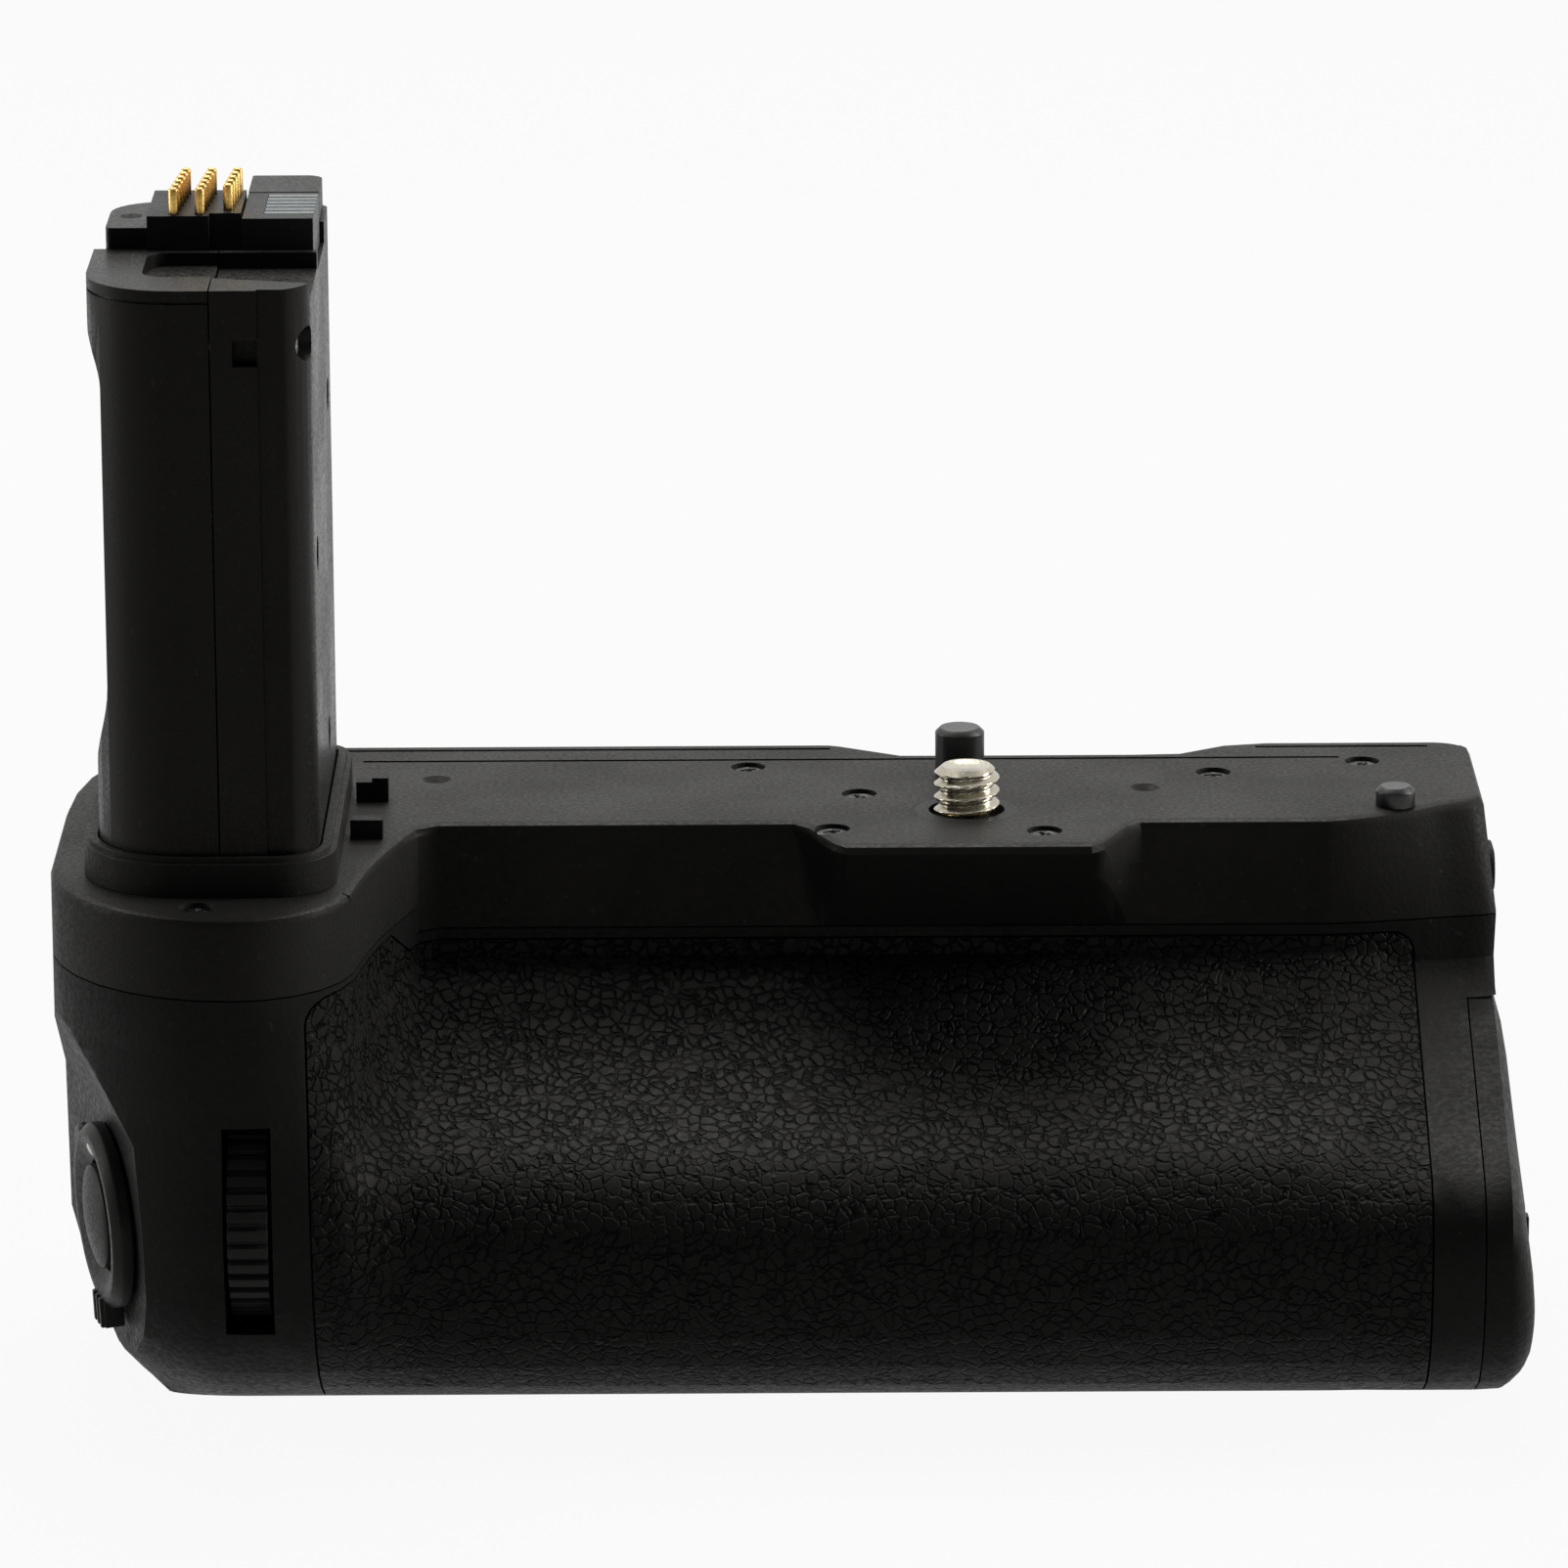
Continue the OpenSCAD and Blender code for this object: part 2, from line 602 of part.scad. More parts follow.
module top_cover() {
    color("dimgray") {
        difference() {
            stack([ring(0, true, rim_r), ring(-0.3 * rim_r, true, 0.3 * rim_r), ring(-rim_r, true),
                ring(-0.4 * cover_h, true), ring(-0.7 * cover_h, true), ring(-cover_h, true)]);
            translate([left_x - over, -grip_reach - over, -cover_h - over])
                cube([cover_step_x - left_x + over, grip_reach + rear_y + 2 * over,
                    cover_h - cover_grip_h + over]);
            cover_cavity();
            screw_holes(long_screws, cover_h);
            screw_holes(short_screws, short_shank);
            translate([0, 0, -plate_t - over]) cylinder(r = bush_r, h = plate_t + 2 * over);
            translate([rear_pin_pos[0], rear_pin_pos[1], -plate_t - over])
                cylinder(r = rear_pin_d / 2 - foot_step, h = plate_t + 2 * over);
            translate([side_pin_pos[0], side_pin_pos[1], -plate_t])
                cylinder(r = side_pin_d / 2 - foot_step, h = plate_t + over);
            for (p = dimples) translate([p[0], p[1], -dimple_d])
                cylinder(r1 = dimple_r - 1, r2 = dimple_r, h = dimple_d + 0.1);
            bar(hook_x, right_x - 13.9, rear_y - 6.3, groove_w, groove_d);
            bar(hook_x - 2, wheel_x - recess_half_w - 6, rear_y - 2.2, groove_w, groove_d);
            bar(wheel_x + recess_half_w + 9, right_x - 4.9, rear_y - 2.2, groove_w, groove_d);
            translate([tower_mid[0] - cable_way[0] / 2, tower_mid[1] - cable_way[1] / 2, -cover_h - over])
                cube([cable_way[0], cable_way[1], cover_h + 2 * over]);
            side_plug_shape(plug_depth + over);
        }
        for (i = [0, 1]) translate([hook_x, hook_y[i], -over]) cube([hook_w, hook_t, over + hook_h[i]]);
        translate([hook_x + hook_w / 2, hook_y[1], 0]) cube([hook_w / 2, hook_t, hook_tip_h]);
    }
}

// Lower shell, from the same rings as the rubber pad
cap_top = -scoop_z - 4.1;
pad_x = [apex_x + 6.8, seam_x - 5];
pad_top = -cover_h - 1.3;
pad_grip_top = -cover_grip_h - 0.9;
pad_bottom = bottom_z + 1.2;
pad_bed = 0.1;
pad_first = left_steps + 1;
pad_last = left_steps + right_steps + flank_steps + front_steps + 8;
pad_rows = [for (p = scoop) p[1]];
pad_grid = [for (r = [0 : len(pad_rows) - 1]) let (c = front_chain(pad_rows[r], false))
    [for (k = [pad_first : pad_last]) [c[k][0], c[k][1], pad_rows[r]]]];
function pad_normal(r, k) = let (
    rows = len(pad_grid) - 1,
    cols = len(pad_grid[0]) - 1,
    du = pad_grid[r][min(k + 1, cols)] - pad_grid[r][max(k - 1, 0)],
    dv = pad_grid[min(r + 1, rows)][k] - pad_grid[max(r - 1, 0)][k],
    n = cross(dv, du))
    n / norm(n);

// Slab that follows the front surface, between two depths under it
module front_slab(outer, inner) {
    rows = len(pad_grid);
    cols = len(pad_grid[0]);
    size = rows * cols;
    layer = [for (d = [outer, inner]) [for (r = [0 : rows - 1], k = [0 : cols - 1])
        pad_grid[r][k] - d * pad_normal(r, k)]];
    edge = concat([for (k = [0 : cols - 1]) k], [for (r = [1 : rows - 1]) r * cols + cols - 1],
        [for (k = [cols - 2 : -1 : 0]) (rows - 1) * cols + k], [for (r = [rows - 2 : -1 : 1]) r * cols]);
    polyhedron(points = concat(layer[0], layer[1]), faces = concat(
        [for (r = [0 : rows - 2], k = [0 : cols - 2]) let (a = r * cols + k) [a, a + 1, a + cols + 1]],
        [for (r = [0 : rows - 2], k = [0 : cols - 2]) let (a = r * cols + k) [a, a + cols + 1, a + cols]],
        [for (r = [0 : rows - 2], k = [0 : cols - 2]) let (a = size + r * cols + k) [a, a + cols + 1, a + 1]],
        [for (r = [0 : rows - 2], k = [0 : cols - 2]) let (a = size + r * cols + k)
            [a, a + cols, a + cols + 1]],
        [for (i = [0 : len(edge) - 1]) let (a = edge[i], b = edge[(i + 1) % len(edge)])
            [a, a + size, b + size]],
        [for (i = [0 : len(edge) - 1]) let (a = edge[i], b = edge[(i + 1) % len(edge)]) [a, b + size, b]]
    ));
}

// Outline of the pad seen from the front, grown by d
module pad_prism(d) {
    left_r = 2.4;
    right_r = 2.1;
    step = 2;
    front = concat(
        [for (a = [0 : 18 : 90])
            [pad_x[0] + left_r * (1 - cos(a)), pad_grip_top - left_r * (1 - sin(a))]],
        [[cover_step_x - pad_gap - step, pad_grip_top], [cover_step_x - pad_gap - 0.5, pad_top]],
        [for (a = [0 : 18 : 90])
            [pad_x[1] - right_r * (1 - sin(a)), pad_top - right_r * (1 - cos(a))]],
        [[pad_x[1], pad_bottom], [pad_x[0] + 0.6, pad_bottom]]);
    translate([0, 3 - front_d, 0]) rotate([90, 0, 0])
        linear_extrude(grip_reach) offset(delta = d) polygon(front);
}

module dial_pocket(x, y, z, side) {
    along_x([x - dial_slot_w / 2, y, z]) cylinder(r = dial_pocket_r, h = dial_slot_w);
    translate([x - dial_slot_w / 2, side < 0 ? y - dial_r - dial_slot_out : y, z - dial_slot_h / 2])
        cube([dial_slot_w, dial_r + dial_slot_out, dial_slot_h]);
    along_x([x - dial_axle_l / 2, y, z]) cylinder(r = dial_axle_r, h = dial_axle_l);
}

board_pos = [left_x + 8, 1];
board_size = [11.6, 1.6, 31];
board_drop = 4;
contact_size = [2.4, 10, 10];
contact_bed = 0.1;
contact_z = tray_z + 6;
lock_pos = [chamber_y - 6.2, bottom_z + 16.5];
lock_slot = [8, 3.4];
lock_shaft_r = 2;
tongue_size = [7, 2.6, 1.6];
lock_wall = 2;
tongue_gap = 0.35;
socket_l = 4.4;
socket_out_r = 5.2;
socket_flange_r = 6.4;
socket_flange_t = 1;
socket_sink = 0.2;
thumb_x = [flank_foot_x - 4.3, flank_foot_x + 18.7];
thumb_z = [bottom_z + 9, -cover_h - 7];
thumb_r = 4;
thumb_t = 1.1;
thumb_reach = 0.4;

module thumb_shape(d, grow) {
    along_y([0, rear_y - thumb_t, 0]) linear_extrude(d)
        polygon(rounded(thumb_x[0] - grow, -thumb_z[1] - grow, thumb_x[1] + grow, -thumb_z[0] + grow,
            [thumb_r, thumb_r, thumb_r, thumb_r]));
}

// Flat under the buttons, which leans out above them
module platform_cut() {
    reach = 60;
    on_platform() intersection() {
        translate([-reach, -reach, 0]) cube([2 * reach, 2 * reach, reach / 2]);
        translate([-platform_rise, -reach, 0]) rotate([0, platform_lean, 0]) translate([-reach, 0, 0])
            cube([2 * reach, 2 * reach, reach]);
    }
}

// Small push button with its bore and its switch, along Z from the surface that it stands in
function button_foot(bore) = bore - button_travel - stop_gap;

module small_bore(r, bore, depth) {
    translate([0, 0, -bore]) cylinder(r = r + run_gap, h = bore + over);
    translate([0, 0, -depth]) cylinder(r = r - switch_step, h = depth);
}

module small_button(r, bore) {
    foot = button_foot(bore);
    translate([0, 0, -foot]) cylinder(r = r, h = foot + button_rise);
    translate([0, 0, button_rise]) cylinder(r1 = r, r2 = r - button_edge, h = button_edge);
    translate([0, 0, -foot - plunger_l]) cylinder(r = plunger_r, h = plunger_l + stop_gap);
}

module small_switch(r, bore, depth) {
    translate([0, 0, -depth]) cylinder(r = r - switch_step,
        h = depth - button_foot(bore) - plunger_l - button_travel - stop_gap);
}

module button_bores() {
    on_platform() {
        translate([0, 0, -hub_depth]) cylinder(r = hub_r + run_gap, h = hub_depth + over);
        translate([0, 0, -switch_depth]) cylinder(r = switch_r, h = switch_depth + over);
    }
    on_platform(function_offset) small_bore(function_r, function_bore, function_depth);
    along_y([af_pos[0], rear_y, af_pos[1]]) small_bore(af_r, af_bore, af_depth);
    along_y([stick_pos[0], stick_pivot_y - stick_well, stick_pos[1]])
        cylinder(r = stick_r + move_gap, h = rear_y - stick_pivot_y + stick_well - stick_lip);
    along_y([stick_pos[0], stick_pivot_y, stick_pos[1]])
        cylinder(r = stick_r - stick_lip_in, h = rear_y - stick_pivot_y + over);
    along_x([stick_pos[0] - stick_r - trunnion_hole_l, stick_pivot_y, stick_pos[1]])
        cylinder(r = trunnion_r + run_gap, h = 2 * (stick_r + trunnion_hole_l));
}

module lock_cut() {
    along_x([seam_x - lock_wall, lock_pos[0], lock_pos[1]]) {
        translate([-lock_slot[1] / 2, -lock_slot[0] / 2, 0])
            cube([lock_slot[1], lock_slot[0], lock_wall + over]);
        cylinder(r = lock_shaft_r + move_gap, h = lock_wall + over);
    }
    along_x([seam_x - lock_wall - tongue_size[2] - 2 * tongue_gap, lock_pos[0], lock_pos[1]])
        cylinder(r = lock_slot[0] / 2 + 0.2, h = tongue_size[2] + 2 * tongue_gap);
}

module lower_shell() {
    color("#202020") difference() {
        stack([for (p = scoop) ring(p[1], false)]);
        translate([cover_step_x, -grip_reach - over, -cover_h - seam_gap])
            cube([right_x - cover_step_x + over, grip_reach + rear_y + 2 * over, cover_h]);
        intersection() {
            front_slab(-1, pad_t);
            pad_prism(pad_gap);
        }
        translate([seam_x, -grip_reach - over, bottom_z - over])
            cube([ledge + over, grip_reach + rear_y + 2 * over, cap_top - bottom_z + over]);
        translate([-chamber_left, chamber_y, chamber_z])
            cube([seam_x + chamber_left + over, chamber_d, -chamber_drop - chamber_z]);
        platform_cut();
        button_bores();
        dial_pocket(front_dial_x, front_dial_y, front_dial_z, -1);
        dial_pocket(rear_dial_x, rear_dial_y, rear_dial_z, 1);
        lock_cut();
        for (p = long_screws) translate([p[0], p[1], -long_shank]) cylinder(r = shank_r, h = long_shank);
        translate([board_pos[0], board_pos[1], -cover_grip_h - board_size[2] - board_drop])
            cube([board_size[0], board_size[1], board_size[2] + board_drop + over]);
        translate([-chamber_left - contact_size[0], -contact_size[1] / 2, contact_z])
            cube([contact_size[0] + over, contact_size[1], contact_size[2]]);
        translate([0, 0, bottom_z - over]) cylinder(r = socket_out_r, h = socket_l + socket_sink + over);
        translate([0, 0, bottom_z - over])
            cylinder(r = socket_flange_r, h = socket_flange_t + socket_sink + over);
        thumb_shape(thumb_t + over, pad_gap);
    }
}

module grip_pad() {
    color("#161616") intersection() {
        front_slab(0, pad_t - pad_bed);
        pad_prism(0);
    }
}

module thumb_pad() {
    color("#161616") thumb_shape(thumb_t + thumb_reach, 0);
}

// Tower
module tower_plan(d) {
    polygon(rounded(tower_x + d, tower_y + d, tower_right - d, tower_y + tower_d - d,
        [tower_left_r - d, max(tower_right_r - d, least_r), max(tower_rear_r - d, least_r),
            tower_left_r - d]));
}

tower_right = tower_x + tower_w;
waist_foot = [10, 19];
waist_head = [10, 4];
waist_z = concat(waist_foot, [for (d = waist_head) tower_h - d]);
waist_steps = 8;
function waist_in(z) = waist * (ramp(z, waist_z[0], waist_z[1]) - ramp(z, waist_z[2], waist_z[3]));

module tower_side() {
    top = tower_h + 4;
    curve = [for (k = [0, 2], i = [0 : waist_steps])
        let (z = mix(waist_z[k], waist_z[k + 1], i / waist_steps))
        [tower_x + waist_in(z), z]];
    translate([0, tower_y + tower_d + over, 0]) rotate([90, 0, 0]) linear_extrude(tower_d + 2 * over)
        polygon(concat([[tower_x, 0]], curve,
            [[tower_x, top], [tower_right + over, top], [tower_right + over, 0]]));
}

strip_w = 4.4;
strip_step = 0.5;
latch_w = 2.3;
latch_d = 1.8;
latch_z = [tower_h - 7.2, tower_h - 4.7];
lid_groove = [0.3, 0.25];
lid_z = tower_h - 1.3;
notch_x = tower_x + 5.2;
notch_y = [tower_y + 6.4, tower_y + 17.3];
notch_r = 2.2;
notch_d = 1.2;
deck_drop = 1.5;
lip_d = 5.7;
lip_slant = 2.6;
rear_block_x = tower_x + 1.1;
side_step = 6;
rear_block_r = [0.6, least_r, least_r, 5];
deck_dimple_pos = [tower_x + 3.2, block_front + 5.6];
deck_dimple = [0.5, 1.25, 0.4];
side_rim = 0.4;
block_ledge = 0.3;
tower_holes = [[tower_y + 3, tower_h - 5.6], [tower_y + 33, tower_h - 17.1], [tower_y + 9, tower_h - 27],
    [tower_y + 25, 9]];
tower_hole_r = 0.9;
tower_head_r = 1.5;
tower_head_t = 1;
tower_sink_r = tower_head_r + 0.15;
tower_sink_d = 2.2;
tower_bite = 4;
tower_boss_r = 2.4;
block_gap = 1;
collar_step = 0.5;
board_margin = 0.5;

module tower_decks() {
    linear_extrude(tower_h) tower_plan(0);
    linear_extrude(deck_rear)
        polygon(rounded(rear_block_x, block_front, block_x + block_gap, block_front + block_d, rear_block_r));
    linear_extrude(terminal_top) polygon(rounded(terminal_x, block_front + block_d, tower_right - side_rim,
        tower_y + tower_d - side_rim, [least_r, least_r, tower_rear_r, least_r]));
}

module tower_body() {
    difference() {
        intersection() {
            tower_decks();
            tower_side();
        }
        difference() {
            translate([0, 0, -over]) linear_extrude(tower_ceiling + over) tower_plan(tower_wall + waist);
            for (h = tower_holes) along_x([tower_x, h[0], h[1]]) cylinder(r = tower_boss_r, h = tower_w);
        }
        translate([block_x + block_ledge, block_front + block_ledge, tower_ceiling - over])
            cube([block_w - 2 * block_ledge, block_d - 2 * block_ledge,
                block_bottom - tower_ceiling + 2 * over]);
        translate([0, 0, tower_h - notch_d]) linear_extrude(notch_d + over)
            polygon(rounded(notch_x, notch_y[0], tower_split + over, notch_y[1],
                [notch_r, 0.1, 0.1, notch_r]));
        translate([block_x, block_front - block_gap, block_bottom])
            cube([tower_right - block_x + over, block_d + block_gap, block_top - block_bottom]);
        translate([0, 0, tower_h - deck_drop]) linear_extrude(deck_drop + over)
            polygon([[tower_split, tower_y + lip_d], [tower_right + over, tower_y + lip_d - lip_slant],
                [tower_right + over, notch_y[1]], [tower_split, notch_y[1]]]);
        translate([tower_x - over, block_front, tower_h - side_step])
            cube([rear_block_x - tower_x + over, tower_d, side_step + over]);
        translate([tower_split + strip_w, tower_y - over, -over])
            cube([tower_w, over + strip_step, tower_h + 2 * over]);
        translate([tower_split + strip_w - latch_w, tower_y - over, latch_z[0]])
            cube([latch_w, over + latch_d, latch_z[1] - latch_z[0]]);
        translate([tower_x - over, tower_y - over, lid_z]) difference() {
            cube([tower_split - tower_x + over, block_front - tower_y, lid_groove[1]]);
            translate([over - tower_x, over - tower_y, -over])
                linear_extrude(3 * over) tower_plan(lid_groove[0]);
        }
        translate([deck_dimple_pos[0], deck_dimple_pos[1], deck_rear - deck_dimple[2]])
            cylinder(r1 = deck_dimple[0], r2 = deck_dimple[1], h = deck_dimple[2] + 0.1);
        for (h = tower_holes) {
            along_x([tower_split - tower_bite, h[0], h[1]]) cylinder(r = tower_hole_r, h = tower_w);
            along_x([tower_right - tower_sink_d, h[0], h[1]])
                cylinder(r = tower_sink_r, h = tower_sink_d + over);
        }
    }
}

module tower_left_shell() {
    color("#1a1a1a") intersection() {
        tower_body();
        translate([tower_x - over, tower_y - over, 0])
            cube([tower_split - seam_gap / 2 - tower_x + over, tower_d + 2 * over, deck_rear + over]);
    }
}

module tower_right_shell() {
    color("#1a1a1a") intersection() {
        tower_body();
        translate([tower_split + seam_gap / 2, tower_y - over, 0])
            cube([tower_w, tower_d + 2 * over, deck_rear + over]);
    }
}

module tower_collar() {
    color("#1d1d1d") difference() {
        union() {
            linear_extrude(collar_h - collar_step) tower_plan(-collar_rim);
            linear_extrude(collar_h) tower_plan(collar_step - collar_rim);
        }
        translate([0, 0, -over]) linear_extrude(collar_h + 2 * over) tower_plan(-seam_gap);
    }
}

function pin_place(col, row) = [block_x + pin_inset[0] + pin_pitch_x * col + pin_lean * row,
    block_front + pin_inset[1] + pin_pitch_y * row];
pin_places = [for (col = [0 : 2], row = [0 : pin_rows - 1]) if (col < 2 || row != 0) pin_place(col, row)];
block_step = [5.8, 1.3];

module contact_block() {
    color("#222222") difference() {
        translate([block_x, block_front, block_bottom])
            cube([block_w - seam_gap, block_d, block_top - block_bottom]);
        translate([block_x + block_step[0], block_front - over, block_bottom - over])
            cube([block_w, block_step[1] + over, block_top - block_bottom + 2 * over]);
        for (p = pin_places) translate([p[0], p[1], block_bottom - over])
            cylinder(r = pin_d / 2 + run_gap, h = block_top - block_bottom + 2 * over);
    }
}

pin_foot = block_bottom + 0.4;
pin_tip = 0.2;
module contact_pins() {
    shank = block_top + pin_h - pin_tip - pin_foot;
    color("gold") for (p = pin_places) translate([p[0], p[1], pin_foot]) {
        cylinder(r = pin_d / 2, h = shank);
        translate([0, 0, shank]) cylinder(r1 = pin_d / 2, r2 = pin_d / 2 - pin_tip, h = pin_tip);
    }
}

terminal_count = 6;
terminal_pitch = 1.6;
terminal_w = 1.1;
terminal_t = 0.35;
terminal_y = block_front + 2.1;
terminal_top = block_top - 0.2;
terminal_x1 = tower_right - side_rim;
terminal_l = terminal_x1 - terminal_x - 2;
terminal_drop = 3.6;
terminal_lift = 0.05;

module terminal_strips() {
    for (i = [0 : terminal_count - 1]) translate([0, terminal_y + i * terminal_pitch, 0]) {
        translate([terminal_x1 - terminal_l, 0, terminal_top - terminal_t])
            cube([terminal_l, terminal_w, terminal_t]);
        translate([terminal_x1 - terminal_t, 0, terminal_top - terminal_drop])
            cube([terminal_t, terminal_w, terminal_drop]);
    }
}

module terminal_block() {
    color("#1c1c1c") difference() {
        translate([terminal_x, block_front, block_bottom])
            cube([terminal_x1 - terminal_x, block_d, terminal_top - terminal_lift - block_bottom]);
        terminal_strips();
    }
}

module battery_terminals() {
    color("lightsteelblue") terminal_strips();
}

module tower_board() {
    color("darkgreen")
        translate([block_x + board_margin, block_front + board_margin, tower_ceiling - board_t])
            cube([tower_right - tower_wall - waist - block_x - 2 * board_margin,
                block_d - 2 * board_margin, board_t]);
}

module tower_screws() {
    head_x = tower_right - tower_sink_d;
    color("silver") for (h = tower_holes) {
        along_x([tower_split - tower_bite, h[0], h[1]])
            cylinder(r = tower_hole_r, h = head_x - tower_split + tower_bite);
        along_x([head_x, h[0], h[1]]) cylinder(r = tower_head_r, h = tower_head_t);
    }
}

// Camera screw and its drive
module camera_screw() {
    tip = 0.7;
    color("silver") {
        cylinder(d = screw_d, h = screw_h - tip);
        translate([0, 0, screw_h - tip]) cylinder(d1 = screw_d, d2 = screw_d - 2 * tip, h = tip);
        translate([0, 0, gear_plate_top + pivot_play]) cylinder(r = neck_r, h = -gear_plate_top - pivot_play);
        translate([0, 0, -cover_h]) cylinder(r = pivot_r, h = gear_plate_t + pivot_play);
    }
}

module screw_gear() {
    turn = idler_angle + 180 / screw_teeth;
    color("goldenrod") translate([0, 0, gear_z]) rotate(turn) gear(screw_teeth, gear_w, neck_r);
}

module screw_bush() {
    color("#2a2a2a") translate([0, 0, -plate_t]) difference() {
        cylinder(r = bush_r, h = plate_t);
        translate([0, 0, -over]) cylinder(r = bush_bore_r, h = plate_t + 2 * over);
    }
}

module idler_gear() {
    color("goldenrod") translate([idler_pos[0], idler_pos[1], gear_z]) rotate(idler_to_screw)
        gear(idler_teeth, gear_w, axle_r + run_gap);
}

module idler_axle() {
    color("silver") translate([idler_pos[0], idler_pos[1], -cover_h])
        cylinder(r = axle_r, h = cover_h - plate_t);
}

module attachment_wheel() {
    turn = idler_to_wheel + 180 + 180 / wheel_teeth
        - (idler_to_screw - idler_to_wheel) * idler_teeth / wheel_teeth;
    color("#303030") translate([wheel_x, wheel_y, 0]) {
        translate([0, 0, wheel_z]) ridged(wheel_r, wheel_w, wheel_ridges, wheel_ridge_d, axle_r + run_gap);
        translate([0, 0, wheel_top]) rotate(turn) gear(wheel_teeth, gear_top - wheel_top, axle_r + run_gap);
    }
}

module wheel_axle() {
    color("silver") translate([wheel_x, wheel_y, -cover_h]) cylinder(r = axle_r, h = cover_h - plate_t);
}

module gear_plate() {
    x0 = -8;
    x1 = wheel_x + 9;
    color("gray") translate([0, 0, -cover_h]) difference() {
        linear_extrude(gear_plate_t) polygon(rounded(x0, 0.3 - cavity_front, max(x1, idler_pos[0] + 4),
            cavity_rear - 0.3, [2, 2, 2, 2]));
        translate([0, 0, -over]) cylinder(r = pivot_r + run_gap, h = gear_plate_t + 2 * over);
        for (p = [idler_pos, wheel_pos]) translate([p[0], p[1], -over])
            cylinder(r = axle_r, h = gear_plate_t + 2 * over);
        for (p = long_screws) translate([p[0], p[1], -over])
            cylinder(r = boss_r + head_room, h = gear_plate_t + 2 * over);
    }
}

module locating_pin(pos, d, h) {
    tip = 0.5;
    color("#262626") translate([pos[0], pos[1], 0]) {
        translate([0, 0, -plate_t]) cylinder(r = d / 2 - foot_step, h = plate_t);
        cylinder(d = d, h = h - tip);
        translate([0, 0, h - tip]) cylinder(d1 = d, d2 = d - 2 * tip, h = tip);
    }
}

module rear_locating_pin() {
    locating_pin(rear_pin_pos, rear_pin_d, rear_pin_h);
}

module side_locating_pin() {
    locating_pin(side_pin_pos, side_pin_d, side_pin_h);
}

module cover_screws() {
    color("#333333") {
        for (p = long_screws) translate([p[0], p[1], 0]) screw(long_shank);
        for (p = short_screws) translate([p[0], p[1], 0]) screw(short_shank);
    }
}

module screw(depth) {
    translate([0, 0, -depth]) cylinder(r = shank_r, h = depth - head_drop);
    translate([0, 0, -head_drop - head_t]) cylinder(r = head_r, h = head_t);
}

// Controls on the left end
module shutter_button() {
    top = collar_t + shutter_rise;
    color("#2c2c2c") on_platform() {
        intersection() {
            translate([0, 0, -shutter_skirt]) cylinder(r = shutter_r, h = top + shutter_skirt);
            translate([0, 0, top - shutter_dome_r]) sphere(r = shutter_dome_r);
        }
        translate([0, 0, -hub_depth - shutter_plunger_l])
            cylinder(r = shutter_plunger_r, h = hub_depth + shutter_plunger_l - shutter_skirt);
    }
}

module shutter_switch() {
    color("#444444") on_platform() difference() {
        translate([0, 0, -switch_depth]) cylinder(r = switch_r, h = switch_depth - hub_depth - switch_drop);
        translate([0, 0, -switch_depth + switch_floor])
            cylinder(r = shutter_plunger_r + move_gap, h = switch_depth);
    }
}

lever_w = 3.8;
lever_l = 1.8;
lever_bite = 1.2;
rib_pitch = 1.3;
rib_h = 0.35;
dish_d = 0.9;
dish_rim = 1.5;
collar_edge = 0.8;

module lock_collar() {
    color("#242424") on_platform() {
        difference() {
            union() {
                translate([0, 0, move_gap]) cylinder(r = lock_r, h = collar_t - collar_edge - move_gap);
                translate([0, 0, collar_t - collar_edge])
                    cylinder(r1 = lock_r, r2 = lock_r - collar_edge, h = collar_edge);
                translate([0, 0, -hub_depth + move_gap]) cylinder(r = hub_r, h = hub_depth);
                translate([lock_r - lever_bite, -lever_w / 2, move_gap])
                    cube([lever_bite + lever_l, lever_w, collar_t - move_gap]);
            }
            translate([0, 0, -hub_depth - over])
                cylinder(r = shutter_r + move_gap, h = hub_depth + collar_t + 2 * over);
            translate([0, 0, collar_t - dish_d])
                cylinder(r1 = shutter_r + move_gap, r2 = lock_r - dish_rim, h = dish_d + 0.01);
        }
        for (i = [-1 : 1]) translate([lock_r - lever_bite, (i - 0.25) * rib_pitch, collar_t - over])
            cube([lever_bite + lever_l, rib_pitch / 2, over + rib_h]);
    }
}

module function_button() {
    color("#2c2c2c") on_platform(function_offset) small_button(function_r, function_bore);
}

module function_switch() {
    color("#444444") on_platform(function_offset) small_switch(function_r, function_bore, function_depth);
}

// Dials
module dial(pos) {
    along_x([pos[0] - dial_w / 2, pos[1], pos[2]])
        ridged(dial_r, dial_w, dial_ridges, dial_ridge_d, dial_axle_r + run_gap);
}

module dial_axle(pos) {
    along_x([pos[0] - dial_axle_l / 2, pos[1], pos[2]]) cylinder(r = dial_axle_r, h = dial_axle_l);
}

module front_dial() {
    color("#1b1b1b") dial([front_dial_x, front_dial_y, front_dial_z]);
}

module front_dial_axle() {
    color("silver") dial_axle([front_dial_x, front_dial_y, front_dial_z]);
}

module rear_dial() {
    color("#1b1b1b") dial([rear_dial_x, rear_dial_y, rear_dial_z]);
}

module rear_dial_axle() {
    color("silver") dial_axle([rear_dial_x, rear_dial_y, rear_dial_z]);
}

// Rear controls
module af_button() {
    color("#2c2c2c") along_y([af_pos[0], rear_y, af_pos[1]]) small_button(af_r, af_bore);
}

module af_switch() {
    color("#444444") along_y([af_pos[0], rear_y, af_pos[1]]) small_switch(af_r, af_bore, af_depth);
}

